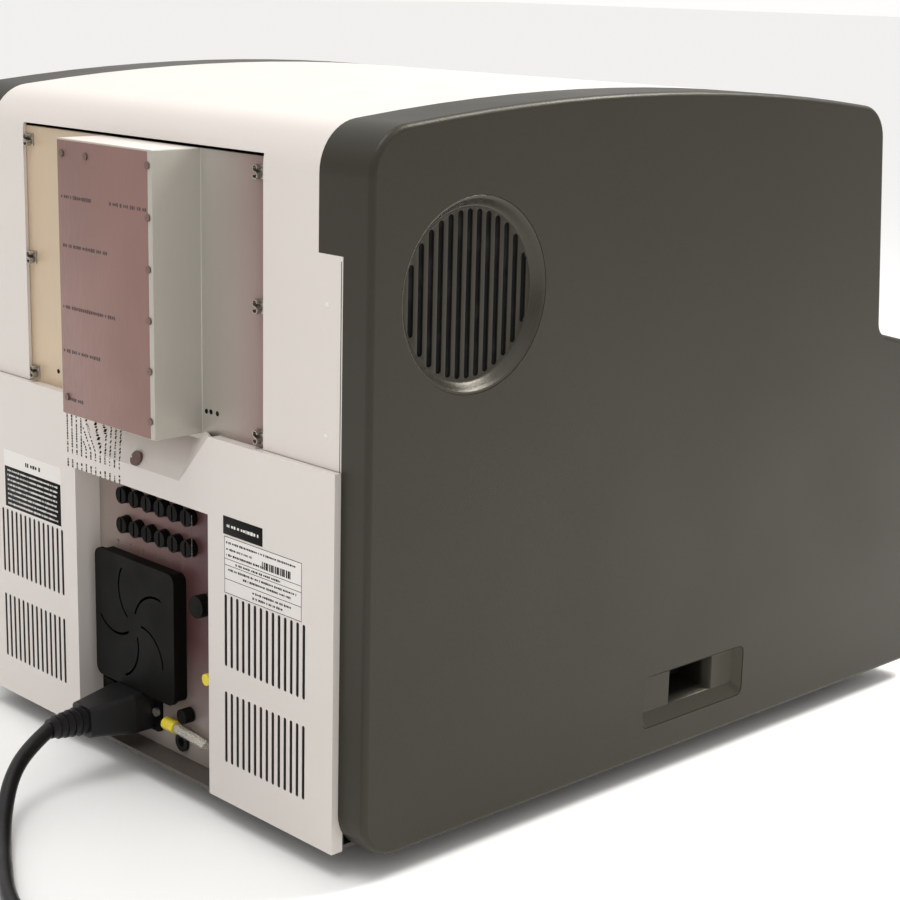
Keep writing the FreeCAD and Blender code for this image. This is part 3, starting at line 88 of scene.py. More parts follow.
class NodeDesk:
    """Adds and links the shader nodes of one material."""

    def __init__(self, name: str) -> None:
        """Start a material with only its shader and output.

        Args:
            name: the material's name.
        """
        self.material = bpy.data.materials.new(name)
        self.material.use_nodes = True
        self.tree = self.material.node_tree
        self.shader = self.tree.nodes["Principled BSDF"]
        self.coords = self.tree.nodes.new("ShaderNodeTexCoord").outputs["Object"]
        self.bump: bpy.types.Node | None = None

    def link(self, source: Socket, target: Socket) -> None:
        """Join two sockets."""
        self.tree.links.new(source, target)

    def noise(self, scale: float, detail: float = 2.0, stretch: Point = (1.0, 1.0, 1.0)) -> Socket:
        """Grey noise on the piece's own coordinates.

        Args:
            scale: how fine the noise is, per metre.
            detail: number of octaves.
            stretch: factor along each axis.
        Returns:
            The noise's grey output.
        """
        mapping = self.tree.nodes.new("ShaderNodeMapping")
        mapping.inputs["Scale"].default_value = stretch
        self.link(self.coords, mapping.inputs["Vector"])
        node = self.tree.nodes.new("ShaderNodeTexNoise")
        node.inputs["Scale"].default_value = scale
        node.inputs["Detail"].default_value = detail
        self.link(mapping.outputs["Vector"], node.inputs["Vector"])
        return node.outputs["Fac"]

    def cells(self, scale: float) -> Socket:
        """Distance from the middles of scattered cells, for a moulded grain."""
        node = self.tree.nodes.new("ShaderNodeTexVoronoi")
        node.inputs["Scale"].default_value = scale
        self.link(self.coords, node.inputs["Vector"])
        return node.outputs["Distance"]

    def spread(self, source: Socket, low: float, high: float,
               start: float = 0.3, end: float = 0.7) -> Socket:
        """Stretch a grey value to a new range.

        Args:
            source: the grey value.
            low: result at start.
            high: result at end.
            start: value that gives low.
            end: value that gives high.
        Returns:
            The new value.
        """
        node = self.tree.nodes.new("ShaderNodeMapRange")
        for socket, value in (("From Min", start), ("From Max", end), ("To Min", low), ("To Max", high)):
            node.inputs[socket].default_value = value
        self.link(source, node.inputs["Value"])
        return node.outputs["Result"]

    def tint(self, share: Socket, plain: Colour, other: Colour) -> Socket:
        """Mix two colours by a grey value."""
        node = self.tree.nodes.new("ShaderNodeMix")
        node.data_type = "RGBA"
        node.inputs["A"].default_value = (*plain, 1.0)
        node.inputs["B"].default_value = (*other, 1.0)
        self.link(share, node.inputs["Factor"])
        return node.outputs["Result"]

    def blend(self, share: Socket, plain: Socket, other: Colour,
              mode: str = "MIX") -> Socket:
        """Mix a colour that is already worked out with a plain one.

        Args:
            share: how much of the other colour shows.
            plain: the colour worked out so far.
            other: the plain colour to mix in.
            mode: the mix node's blend type.
        Returns:
            The mixed colour.
        """
        node = self.tree.nodes.new("ShaderNodeMix")
        node.data_type = "RGBA"
        node.blend_type = mode
        node.inputs["B"].default_value = (*other, 1.0)
        self.link(share, node.inputs["Factor"])
        self.link(plain, node.inputs["A"])
        return node.outputs["Result"]

    def place(self, axis: Axis) -> Socket:
        """The place along an axis, in metres."""
        split = self.tree.nodes.new("ShaderNodeSeparateXYZ")
        self.link(self.coords, split.inputs["Vector"])
        return split.outputs[axis.name]

    def ramp_axis(self, axis: Axis, low: float, high: float) -> Socket:
        """Grey value that runs from 0 to 1 between two places along an axis."""
        return self.spread(self.place(axis), 0.0, 1.0, low, high)

    def reckon(self, operation: str, first: Socket, *others: Socket | float) -> Socket:
        """One step of arithmetic on grey values.

        Args:
            operation: the math node's operation.
            first: the value it starts from.
            others: its other values, sockets or plain numbers.
        Returns:
            The result.
        """
        node = self.tree.nodes.new("ShaderNodeMath")
        node.operation = operation
        self.link(first, node.inputs[0])
        for slot, value in enumerate(others, 1):
            if isinstance(value, float):
                node.inputs[slot].default_value = value
            else:
                self.link(value, node.inputs[slot])
        return node.outputs["Value"]

    def laid_colour(self) -> Socket:
        """The colour that the shader wears so far."""
        return self.shader.inputs["Base Color"].links[0].from_socket

    def colour(self, source: Socket) -> None:
        """Use a colour on the shader."""
        self.link(source, self.shader.inputs["Base Color"])

    def rough(self, source: Socket) -> None:
        """Use a roughness on the shader."""
        self.link(source, self.shader.inputs["Roughness"])

    def relief(self, source: Socket, height: float, strength: float = 1.0) -> None:
        """Add a relief to the surface, over any that is there.

        Args:
            source: the grey height.
            height: the height of a step from 0 to 1, in metres.
            strength: share of the relief that shows.
        """
        node = self.tree.nodes.new("ShaderNodeBump")
        node.inputs["Distance"].default_value = height
        node.inputs["Strength"].default_value = strength
        self.link(source, node.inputs["Height"])
        if self.bump is not None:
            self.link(self.bump.outputs["Normal"], node.inputs["Normal"])
        self.bump = node
        self.link(node.outputs["Normal"], self.shader.inputs["Normal"])

    def set(self, **values: float | tuple) -> None:
        """Set plain numbers on the shader's sockets, by name with underscores for spaces."""
        for name, value in values.items():
            self.shader.inputs[name.replace("_", " ")].default_value = value


@dataclass(frozen=True)
class Finish:
    """What every finish has: a name, a colour and a roughness."""

    name: str
    colour: Colour
    roughness: float = 0.5

    def desk(self) -> NodeDesk:
        """Start the material with its plain colour and roughness."""
        desk = NodeDesk(self.name)
        desk.set(Base_Color=(*self.colour, 1.0), Roughness=self.roughness)
        return desk

    def make(self) -> bpy.types.Material:
        """Build the material."""
        return self.desk().material

    def shade(self, factor: float) -> Colour:
        """The finish's colour, darker or lighter."""
        return tuple(min(1.0, channel * factor) for channel in self.colour)


@dataclass(frozen=True)
class PowderCoat(Finish):
    """Satin powder coat on sheet steel, with a fine orange peel and faint smudges."""

    peel: float = 900.0
    peel_height: float = 0.00004
    warm: Colour = (0.80, 0.77, 0.73)

    def laid(self) -> NodeDesk:
        """Lay the coat."""
        desk = self.desk()
        cloud = desk.spread(desk.noise(5.0, 4.0), 0.0, 0.5)
        desk.colour(desk.tint(cloud, self.colour, self.warm))
        desk.rough(desk.spread(desk.noise(28.0, 5.0), self.roughness - 0.05, self.roughness + 0.08))
        desk.relief(desk.noise(self.peel, 2.0), self.peel_height)
        desk.relief(desk.noise(12.0, 1.0), 0.0005, 0.35)
        desk.set(Coat_Weight=0.12, Coat_Roughness=0.35)
        return desk

    def make(self) -> bpy.types.Material:
        """Build the material."""
        return self.laid().material


@dataclass(frozen=True)
class SlottedSheet(PowderCoat):
    """Powder coat on a slotted cover, with painted shade inside its vent slots and a painted shadow of the
    box, pink with its reflection, on the sunken slope under the box.
    """

    # Painted shadow of the electronics box, pink with the reflection of its front, on the sunken slope under
    # it.
    dent_shadow: Colour = (0.33, 0.265, 0.24)
    dent_shadow_share: float = 0.55
    dent_y: tuple[float, float] = (0.2955, 0.2850)
    dent_z: float = 0.2315
    # Painted shade: the colour of the slot walls behind the cover's face inside the vent area.
    vent_shade: Colour = (0.05, 0.048, 0.045)
    vent_x: tuple[float, float] = (0.090, 0.185)
    vent_y: tuple[float, float] = (0.2960, 0.29875)
    vent_z: tuple[float, float] = (0.010, 0.200)

    def make(self) -> bpy.types.Material:
        """Build the material."""
        desk = self.laid()
        # Painted shadow and reflection: above dent_z the cover darkens towards the pink shadow colour, more
        # the deeper the slope lies along Y.
        dent_shadow_ramp = desk.spread(desk.place(Axis.Y), 0.0, self.dent_shadow_share, *self.dent_y)
        above = desk.reckon("GREATER_THAN", desk.place(Axis.Z), self.dent_z)
        dent_shadowed = desk.blend(desk.reckon("MULTIPLY", above, dent_shadow_ramp), desk.laid_colour(), self.dent_shadow)
        # Painted shade inside the vent slots: whatever lies within the vent box behind the face turns near
        # black.
        inside = []
        for place, (low, high) in ((desk.reckon("ABSOLUTE", desk.place(Axis.X)), self.vent_x),
                                   (desk.place(Axis.Y), self.vent_y), (desk.place(Axis.Z), self.vent_z)):
            inside.append(desk.reckon("COMPARE", place, (low + high) / 2, (high - low) / 2))
        vent_shade_mask = desk.reckon("MULTIPLY", desk.reckon("MULTIPLY", inside[0], inside[1]), inside[2])
        desk.colour(desk.blend(vent_shade_mask, dent_shadowed, self.vent_shade))
        return desk.material


@dataclass(frozen=True)
class TexturedPaint(Finish):
    """Metallic textured paint on a moulded panel: fine grain, flakes and soft unevenness."""

    grain: float = 1500.0
    grain_height: float = 0.00009
    metallic: float = 0.45

    def laid(self) -> NodeDesk:
        """Lay the paint."""
        desk = self.desk()
        flakes = desk.spread(desk.noise(2600.0, 1.0), 0.0, 1.0, 0.45, 0.75)
        cloud = desk.spread(desk.noise(3.0, 4.0), 0.0, 0.55)
        base = desk.tint(cloud, self.colour, self.shade(0.86))
        desk.colour(desk.blend(desk.spread(flakes, 0.0, 0.35, 0.0, 1.0), base, self.shade(1.55)))
        desk.rough(desk.spread(desk.noise(9.0, 4.0), self.roughness - 0.05, self.roughness + 0.06))
        desk.relief(desk.cells(self.grain), self.grain_height, 0.7)
        desk.relief(desk.noise(700.0, 3.0), 0.00006, 0.6)
        desk.set(Metallic=self.metallic, Specular_IOR_Level=0.25)
        return desk

    def make(self) -> bpy.types.Material:
        """Build the material."""
        return self.laid().material


@dataclass(frozen=True)
class SheetMetal(Finish):
    """Bare or zinc-plated sheet, rolled along Z, with handling marks and dull patches."""

    metallic: float = 0.9
    grain: float = 180.0
    marks: float = 0.25

    def make(self) -> bpy.types.Material:
        """Build the material."""
        desk = self.desk()
        lines = desk.noise(self.grain, 3.0, (6.0, 6.0, 0.5))
        dull = desk.spread(desk.noise(9.0, 6.0), 0.0, 1.0, 0.42, 0.68)
        desk.colour(desk.tint(desk.spread(dull, 0.0, self.marks, 0.0, 1.0), self.colour, self.shade(0.72)))
        desk.rough(desk.spread(lines, self.roughness - 0.07, self.roughness + 0.08))
        desk.relief(lines, 0.00003, 0.5)
        desk.relief(desk.noise(55.0, 4.0), 0.00012, 0.25)
        desk.set(Metallic=self.metallic)
        return desk.material


@dataclass(frozen=True)
class TintAndLightRampSheet(SheetMetal):
    """Passivated sheet whose colour ramps along X and then along Z: partly the chromate coat's own tone,
    partly painted reflection, shade and light, and a plain split by height on the screws.
    """

    middle: Colour = (0.5, 0.5, 0.5)
    far: Colour = (0.5, 0.5, 0.5)
    low: Colour = (0.5, 0.5, 0.5)
    near_x: float = 0.1
    middle_x: float = 0.0
    far_x: float = -0.1
    low_z: float = -1.0
    high_z: float = -0.9

    def make(self) -> bpy.types.Material:
        """Build the material."""
        desk = self.desk()
        lines = desk.noise(self.grain, 3.0, (6.0, 6.0, 0.5))
        # Painted light in the ramps: on the box cover the pink at the -X end is a painted reflection of the
        # front plate; on the bay the dark -X end is a painted shadow and the pale foot is painted light from
        # the floor.
        tint = desk.tint(desk.ramp_axis(Axis.X, self.near_x, self.middle_x), self.colour, self.middle)
        tint = desk.blend(desk.ramp_axis(Axis.X, self.middle_x, self.far_x), tint, self.far)
        tint = desk.blend(desk.ramp_axis(Axis.Z, self.high_z, self.low_z), tint, self.low)
        dull = desk.spread(desk.noise(9.0, 6.0), 0.0, self.marks, 0.42, 0.68)
        desk.colour(desk.blend(dull, tint, (0.78, 0.77, 0.76), "MULTIPLY"))
        desk.rough(desk.spread(lines, self.roughness - 0.07, self.roughness + 0.08))
        desk.relief(lines, 0.00003, 0.5)
        desk.relief(desk.noise(55.0, 4.0), 0.00012, 0.25)
        desk.set(Metallic=self.metallic)
        return desk.material


@dataclass(frozen=True)
class PocketShadePaint(TexturedPaint):
    """Textured paint that darkens inside a pocket on either side, as painted shade."""

    face_x: float = 0.2232
    deep_x: float = 0.2200
    darkest_shade: float = 0.3

    def make(self) -> bpy.types.Material:
        """Build the material."""
        desk = self.laid()
        # Painted shade: the deeper past face_x the surface lies, the darker it is, down to darkest_shade at
        # deep_x.
        side = desk.reckon("ABSOLUTE", desk.place(Axis.X))
        pocket_shade = desk.spread(side, 0.0, 1.0, self.face_x, self.deep_x)
        desk.colour(desk.blend(pocket_shade, desk.laid_colour(), self.shade(self.darkest_shade)))
        return desk.material


@dataclass(frozen=True)
class Moulded(Finish):
    """Moulded plastic or rubber with a fine eroded grain."""

    grain: float = 1300.0
    grain_height: float = 0.00005
    dust: float = 0.12
    shine: float = 0.5

    def make(self) -> bpy.types.Material:
        """Build the material."""
        desk = self.desk()
        settled = desk.spread(desk.noise(60.0, 6.0), 0.0, self.dust, 0.5, 0.75)
        desk.colour(desk.tint(settled, self.colour, tuple(0.5 * c + 0.12 for c in self.colour)))
        desk.rough(desk.spread(desk.noise(45.0, 4.0), self.roughness - 0.06, self.roughness + 0.08))
        desk.relief(desk.cells(self.grain), self.grain_height, 0.6)
        desk.set(Specular_IOR_Level=self.shine)
        return desk.material


@dataclass(frozen=True)
class Machined(Finish):
    """Turned or milled metal, bright or anodised, with tool marks."""

    pitch: float = 900.0

    def make(self) -> bpy.types.Material:
        """Build the material."""
        desk = self.desk()
        marks = desk.noise(self.pitch, 2.0, (1.0, 1.0, 0.15))
        desk.colour(desk.tint(desk.spread(marks, 0.0, 0.4), self.colour, self.shade(0.8)))
        desk.rough(desk.spread(marks, self.roughness - 0.06, self.roughness + 0.06))
        desk.relief(marks, 0.00002)
        desk.set(Metallic=1.0)
        return desk.material


@dataclass(frozen=True)
class Clear(Finish):
    """Glass, clear plastic or a frosted lens."""

    ior: float = 1.5
    through: float = 0.9

    def make(self) -> bpy.types.Material:
        """Build the material."""
        desk = self.desk()
        desk.rough(desk.spread(desk.noise(80.0, 3.0), self.roughness, self.roughness + 0.05))
        desk.relief(desk.noise(300.0, 2.0), 0.00002, 0.3)
        desk.set(IOR=self.ior, Transmission_Weight=self.through)
        return desk.material


@dataclass(frozen=True)
class BoardLacquer(Finish):
    """Green circuit board with paler tracks."""

    def make(self) -> bpy.types.Material:
        """Build the material."""
        desk = self.desk()
        tracks = desk.tree.nodes.new("ShaderNodeTexBrick")
        tracks.inputs["Scale"].default_value = 90.0
        tracks.inputs["Mortar Size"].default_value = 0.03
        tracks.inputs["Color1"].default_value = (*self.colour, 1.0)
        tracks.inputs["Color2"].default_value = (*self.shade(0.8), 1.0)
        tracks.inputs["Mortar"].default_value = (*self.shade(1.9), 1.0)
        mapping = desk.tree.nodes.new("ShaderNodeMapping")
        mapping.inputs["Rotation"].default_value = (math.pi / 2, 0.0, 0.0)
        desk.link(desk.coords, mapping.inputs["Vector"])
        desk.link(mapping.outputs["Vector"], tracks.inputs["Vector"])
        desk.colour(tracks.outputs["Color"])
        desk.relief(tracks.outputs["Fac"], 0.00005)
        return desk.material


class Coat(Enum):
    """The finishes that the machine's pieces wear."""

    WHITE_SHEET = PowderCoat("white_sheet", (0.67, 0.625, 0.585), 0.42, warm=(0.64, 0.59, 0.56))
    SLOTTED = SlottedSheet("slotted_sheet", (0.67, 0.625, 0.585), 0.42, warm=(0.64, 0.59, 0.56))
    WHITE_PLASTIC = PowderCoat("white_plastic", (0.68, 0.65, 0.615), 0.38, peel=1400.0, peel_height=0.00002,
                               warm=(0.66, 0.63, 0.60))
    GREY_PANEL = TexturedPaint("grey_panel", (0.036, 0.0333, 0.0236), 0.36, metallic=0.3)
    # Painted highlight: the dish ring wears the panel's paint made lighter, so that the ring reads brighter
    # than the panel.
    DISH = TexturedPaint("dish_paint_highlight", (0.054, 0.050, 0.039), 0.25)
    # Recess paint with painted shade in the finger pocket.
    RECESS = PocketShadePaint("recess_paint_pocket_shade", (0.048, 0.044, 0.033), 0.33)
    ZINC = SheetMetal("zinc_steel", (0.52, 0.52, 0.50), 0.38)
    FLOOR_PAN = SheetMetal("floor_pan", (0.09, 0.078, 0.068), 0.5, metallic=0.3)
    BOX_FRONT = SheetMetal("box_front", (0.268, 0.153, 0.134), 0.42, metallic=0.35, marks=0.5)
    # Box cover: beige to grey-green along X is partly the chromate coat's own tone; the pink far end is a
    # painted reflection of the front plate.
    BOX_METAL = TintAndLightRampSheet("box_metal", (0.60, 0.47, 0.33), 0.40, middle=(0.45, 0.43, 0.38),
                            far=(0.25, 0.165, 0.150), near_x=0.120, middle_x=-0.064, far_x=-0.132,
                            metallic=0.35)
    # Connector bay: the dark red towards -X is a painted shadow of the fan, and the paler low colour is
    # painted light from the floor.
    BAY_METAL = TintAndLightRampSheet("bay_metal", (0.36, 0.30, 0.27), 0.42, middle=(0.21, 0.12, 0.105),
                            far=(0.085, 0.030, 0.032), low=(0.36, 0.31, 0.28), near_x=0.074, middle_x=0.035,
                            far_x=-0.045, low_z=0.020, high_z=0.110, metallic=0.25)
    # Painted shade: near black, for the dark inside holes and behind vent slots.
    DARK_SHEET = Moulded("painted_shade_sheet", (0.004, 0.004, 0.004), 0.7, shine=0.1)
    # Painted shade: the zinc rear frame is dressed near black so that the cover's vent slots read dark.
    BACK_SHEET = Moulded("back_sheet_painted_shade", (0.034, 0.033, 0.031), 0.7, shine=0.1)
    SPRING = Machined("spring_steel", (0.42, 0.39, 0.35), 0.35)
    SCREW = TintAndLightRampSheet("screw_steel", (0.19, 0.125, 0.11), 0.34, middle=(0.19, 0.125, 0.11),
                        far=(0.19, 0.125, 0.11), low=(0.70, 0.68, 0.64), low_z=0.055, high_z=0.062,
                         metallic=0.9)
    STEEL = Machined("turned_steel", (0.62, 0.60, 0.57), 0.3)
    BLACK = Moulded("black_plastic", (0.0045, 0.0045, 0.004), 0.5, dust=0.01, shine=0.07)
    RUBBER = Moulded("black_rubber", (0.010, 0.010, 0.010), 0.68, grain=700.0, dust=0.05, shine=0.2)
    CORD = Moulded("cord_jacket", (0.009, 0.009, 0.009), 0.36, grain=2200.0, grain_height=0.00002,
                   dust=0.02, shine=0.3)
    YELLOW = Moulded("yellow_cap", (0.80, 0.64, 0.045), 0.38, dust=0.05)
    CLEAR_TUBE = Clear("clear_tube", (0.92, 0.90, 0.82), 0.12, ior=1.42, through=0.75)
    LENS_LIGHT = Clear("status_lens", (0.72, 0.84, 0.82), 0.35, through=0.5)
    BOARD = BoardLacquer("circuit_board", (0.02, 0.16, 0.06), 0.3)
    BRIGHT = Machined("machined_aluminium", (0.75, 0.75, 0.74), 0.32)
    CERAMIC = Moulded("pale_ceramic", (0.80, 0.80, 0.77), 0.55)
    ANODISED = Machined("black_anodised", (0.03, 0.03, 0.033), 0.42)
    OPTIC = Clear("optical_glass", (0.93, 0.97, 0.98), 0.02, through=1.0)
    MIRROR = Machined("mirror_glass", (0.90, 0.91, 0.91), 0.08, pitch=20.0)
    # Label paper white, also worn by the hood dimples as a painted highlight.
    LABEL = Moulded("label_white_and_dimple_highlight", (0.74, 0.71, 0.68), 0.4, grain_height=0.00001, dust=0.05)
    # Black ink for print and plates, also worn by the painted shade of the hood seam.
    INK = Moulded("label_ink_and_seam_shade", (0.009, 0.0085, 0.0085), 0.45, grain_height=0.00001, dust=0.01, shine=0.06)
    FADED_INK = Moulded("faded_ink", (0.050, 0.028, 0.026), 0.5, grain_height=0.00001, dust=0.3)


class Paintbox:
    """Makes each finish once and lends it to the pieces."""

    def __init__(self) -> None:
        """Start with no finish made."""
        self.made: dict[Coat, bpy.types.Material] = {}

    def get(self, coat: Coat) -> bpy.types.Material:
        """The material of a finish."""
        if coat not in self.made:
            self.made[coat] = coat.value.make()
        return self.made[coat]


class Bench:
    """Modelling steps that the sub-assemblies share, each leaving one finished mesh."""

    def __init__(self, paints: Paintbox) -> None:
        """Keep the finishes at hand."""
        self.paints = paints

    def clear(self) -> None:
        """Leave edit mode and select nothing."""
        if bpy.context.mode != "OBJECT":
            bpy.ops.object.mode_set(mode="OBJECT")
        bpy.ops.object.select_all(action="DESELECT")

    def block(self, name: str, low: Point, high: Point, coat: Coat, round_to: float = 0.0,
              steps: int = 2) -> bpy.types.Object:
        """A block between two corners, with rounded edges.

        Args:
            name: the piece's name.
            low: lowest corner, in metres.
            high: highest corner, in metres.
            coat: its finish.
            round_to: radius of its edges.
            steps: faces in each rounded edge.
        Returns:
            The new piece.
        """
        self.clear()
        middle = [(a + b) / 2 for a, b in zip(low, high)]
        bpy.ops.mesh.primitive_cube_add(size=1.0, location=middle)
        piece = bpy.context.object
        piece.scale = [b - a for a, b in zip(low, high)]
        bpy.ops.object.transform_apply(location=True, rotation=True, scale=True)
        return self.finish(piece, name, coat, round_to, steps)

    def finish(self, piece: bpy.types.Object, name: str, coat: Coat, round_to: float = 0.0,
               steps: int = 2, smooth_angle: float = 40.0) -> bpy.types.Object:
        """Round a piece's edges, shade it and give it its finish.

        Args:
            piece: the piece.
            name: its name.
            coat: its finish.
            round_to: radius of its edges, or 0 for none.
            steps: faces in each rounded edge.
            smooth_angle: largest angle between faces that shade as one, in degrees.
        Returns:
            The same piece.
        """
        self.clear()
        piece.name = name
        piece.data.name = name
        bpy.context.view_layer.objects.active = piece
        piece.select_set(True)
        if round_to > 0.0:
            bevel = piece.modifiers.new("rounding", "BEVEL")
            bevel.width = round_to
            bevel.segments = steps
            bevel.limit_method = "ANGLE"
            bevel.angle_limit = math.radians(35.0)
            bpy.ops.object.modifier_apply(modifier=bevel.name)
        bpy.ops.object.shade_smooth_by_angle(angle=math.radians(smooth_angle))
        piece.data.materials.clear()
        piece.data.materials.append(self.paints.get(coat))
        return piece

    def turned(self, name: str, start: Point, axis: Axis, stations: Sequence[tuple[float, float]],
               coat: Coat, sides: int = 48, round_to: float = 0.0) -> bpy.types.Object:
        """A turned piece, extruded ring by ring from a circle.

        Args:
            name: the piece's name.
            start: point on its axis where heights are counted from.
            axis: direction of its axis.
            stations: radius and height of each ring, in metres.
            coat: its finish.
            sides: points in each ring.
            round_to: radius of its edges.
        Returns:
            The new piece, closed at both ends unless its ends meet.
        """
        self.clear()
        radius, height = stations[0]
        bpy.ops.mesh.primitive_circle_add(vertices=sides, radius=radius, location=(0.0, 0.0, height),
                                          fill_type="NGON")
        piece = bpy.context.object
        bpy.ops.object.transform_apply(location=True, rotation=True, scale=True)
        bpy.ops.object.mode_set(mode="EDIT")
        bpy.ops.mesh.select_all(action="SELECT")
        for new_radius, new_height in stations[1:]:
            bpy.ops.mesh.extrude_region_move(
                TRANSFORM_OT_translate={"value": (0.0, 0.0, new_height - height)})
            factor = new_radius / radius
            bpy.ops.transform.resize(value=(factor, factor, 1.0), center_override=(0.0, 0.0, new_height))
            radius, height = new_radius, new_height
        bpy.ops.mesh.select_all(action="SELECT")
        bpy.ops.mesh.remove_doubles(threshold=1e-6)
        bpy.ops.mesh.normals_make_consistent(inside=False)
        bpy.ops.object.mode_set(mode="OBJECT")
        self.point(piece, start, axis)
        return self.finish(piece, name, coat, round_to)

    def point(self, piece: bpy.types.Object, place: Point, axis: Axis) -> None:
        """Turn a piece from +Z to an axis, move it, and put both into its mesh."""
        turn = Vector((0.0, 0.0, 1.0)).rotation_difference(Vector(axis.value))
        piece.data.transform(Matrix.Translation(place) @ turn.to_matrix().to_4x4())
        piece.data.update()

    def cut(self, piece: bpy.types.Object, cutters: Iterable[bpy.types.Object]) -> bpy.types.Object:
        """Cut the cutters out of a piece and delete them."""
        for cutter in cutters:
            self.clear()
            bpy.context.view_layer.objects.active = piece
            piece.select_set(True)
            boolean = piece.modifiers.new("cut", "BOOLEAN")
            boolean.operation = "DIFFERENCE"
            boolean.solver = "EXACT"
            boolean.object = cutter
            bpy.ops.object.modifier_apply(modifier=boolean.name)
            bpy.data.objects.remove(cutter)
        return piece

    def slotted_disc(self, dish: "Cabinet", rim: Vector) -> bpy.types.Object:
        """The round vent: a turned dish on -X with upright round-ended slots.

        Args:
            dish: holds the dish's rings and the slots' sizes.
            rim: middle of the dish's outer face.
        Returns:
            The finished grille.
        """
        outer, inner = dish.dish_steps[0][0], dish.dish_steps[-1][0]
        rings = [*dish.dish_steps, (inner, -dish.dish_depth), (outer, -dish.dish_depth)]
        place = (rim.x, rim.y, rim.z)
        ring = self.turned("vent_dish", place, Axis.MINUS_X, rings, Coat.DISH, sides=96)
        # The second disc is painted shade: a near-black sheet just behind the slotted plate, for the shade
        # inside the vent.
        plate, shade_sheet = (
            self.turned(name, place, Axis.MINUS_X, [(dish.plate_radius, -deep) for deep in depths], coat,
                        sides=sides)
            for name, depths, coat, sides in (("vent_plate", dish.plate_depths, Coat.GREY_PANEL, 96),
                                              ("vent_shade_sheet", dish.shade_sheet_depths, Coat.DARK_SHEET, 64)))
        bars = []
        for i in range(dish.slot_count):
            offset = (i - (dish.slot_count - 1) / 2) * dish.slot_pitch
            reach = math.sqrt(dish.slot_circle ** 2 - offset ** 2)
            bar = self.block("slot", (rim.x + 0.002, rim.y + offset - dish.slot_width / 2, rim.z - reach),
                             (rim.x + 0.012, rim.y + offset + dish.slot_width / 2, rim.z + reach),
                             Coat.GREY_PANEL)
            bars.append(self.round_upright(bar, dish.slot_width * 0.49))
        self.cut(plate, [self.join("slots", bars)])
        self.finish(plate, "vent_plate", Coat.GREY_PANEL, 0.0004, 2)
        return self.join("vent_grille", [ring, plate, shade_sheet])

    def round_upright(self, piece: bpy.types.Object, radius: float) -> bpy.types.Object:
        """Round the ends of a block that is to cut an upright slot through a plate on X.

        Args:
            piece: the block.
            radius: radius of its four edges along X.
        Returns:
            The same piece.
        """
        self.clear()
        bpy.context.view_layer.objects.active = piece
        piece.select_set(True)
        bpy.ops.object.mode_set(mode="EDIT")
        bpy.ops.mesh.select_mode(type="EDGE")
        bpy.ops.mesh.select_all(action="DESELECT")
        bpy.ops.object.mode_set(mode="OBJECT")
        for edge in piece.data.edges:
            ends = [piece.data.vertices[i].co for i in edge.vertices]
            edge.select = abs(ends[0].x - ends[1].x) > 1e-4
        bpy.ops.object.mode_set(mode="EDIT")
        bpy.ops.mesh.bevel(offset=radius, segments=6)
        bpy.ops.object.mode_set(mode="OBJECT")
        return piece

    def folded_strip(self, name: str, path: Sequence[tuple[float, float]], low: float, high: float,
                     thick: float, fold: float, coat: Coat) -> bpy.types.Object:
        """A sheet folded along upright lines.

        Args:
            name: the piece's name.
            path: places (x, y) of the sheet's middle, seen from above.
            low: lower edge.
            high: upper edge.
            thick: sheet thickness.
            fold: radius of the folds.
            coat: its finish.
        Returns:
            The finished piece.
        """
        self.clear()
        bpy.ops.mesh.primitive_plane_add(size=1.0)
        piece = bpy.context.object
        bpy.ops.object.mode_set(mode="EDIT")
        bpy.ops.mesh.select_all(action="SELECT")
        bpy.ops.mesh.delete(type="ONLY_FACE")
        bpy.ops.object.mode_set(mode="OBJECT")
        start = (*path[0], low)
        for vertex in piece.data.vertices:
            vertex.co = start
        bpy.ops.object.mode_set(mode="EDIT")
        bpy.ops.mesh.select_all(action="SELECT")
        bpy.ops.mesh.remove_doubles(threshold=1e-6)
        here = path[0]
        for place in path[1:]:
            shift = (place[0] - here[0], place[1] - here[1], 0.0)
            bpy.ops.mesh.extrude_vertices_move(TRANSFORM_OT_translate={"value": shift})
            here = place
        bpy.ops.mesh.select_all(action="SELECT")
        bpy.ops.mesh.extrude_edges_move(TRANSFORM_OT_translate={"value": (0.0, 0.0, high - low)})
        bpy.ops.object.mode_set(mode="OBJECT")
        self.clear()
        bpy.context.view_layer.objects.active = piece
        piece.select_set(True)
        for kind, values in (("SOLIDIFY", {"thickness": thick, "offset": 0.0, "use_even_offset": True}),
                             ("BEVEL", {"width": fold, "segments": 4, "limit_method": "ANGLE",
                                        "angle_limit": math.radians(50.0), "use_clamp_overlap": True})):
            modifier = piece.modifiers.new(kind.lower(), kind)
            for key, value in values.items():
                setattr(modifier, key, value)
            bpy.ops.object.modifier_apply(modifier=modifier.name)
        bpy.ops.object.mode_set(mode="EDIT")
        bpy.ops.mesh.select_all(action="SELECT")
        bpy.ops.mesh.normals_make_consistent(inside=False)
        bpy.ops.object.mode_set(mode="OBJECT")
        return self.finish(piece, name, coat)

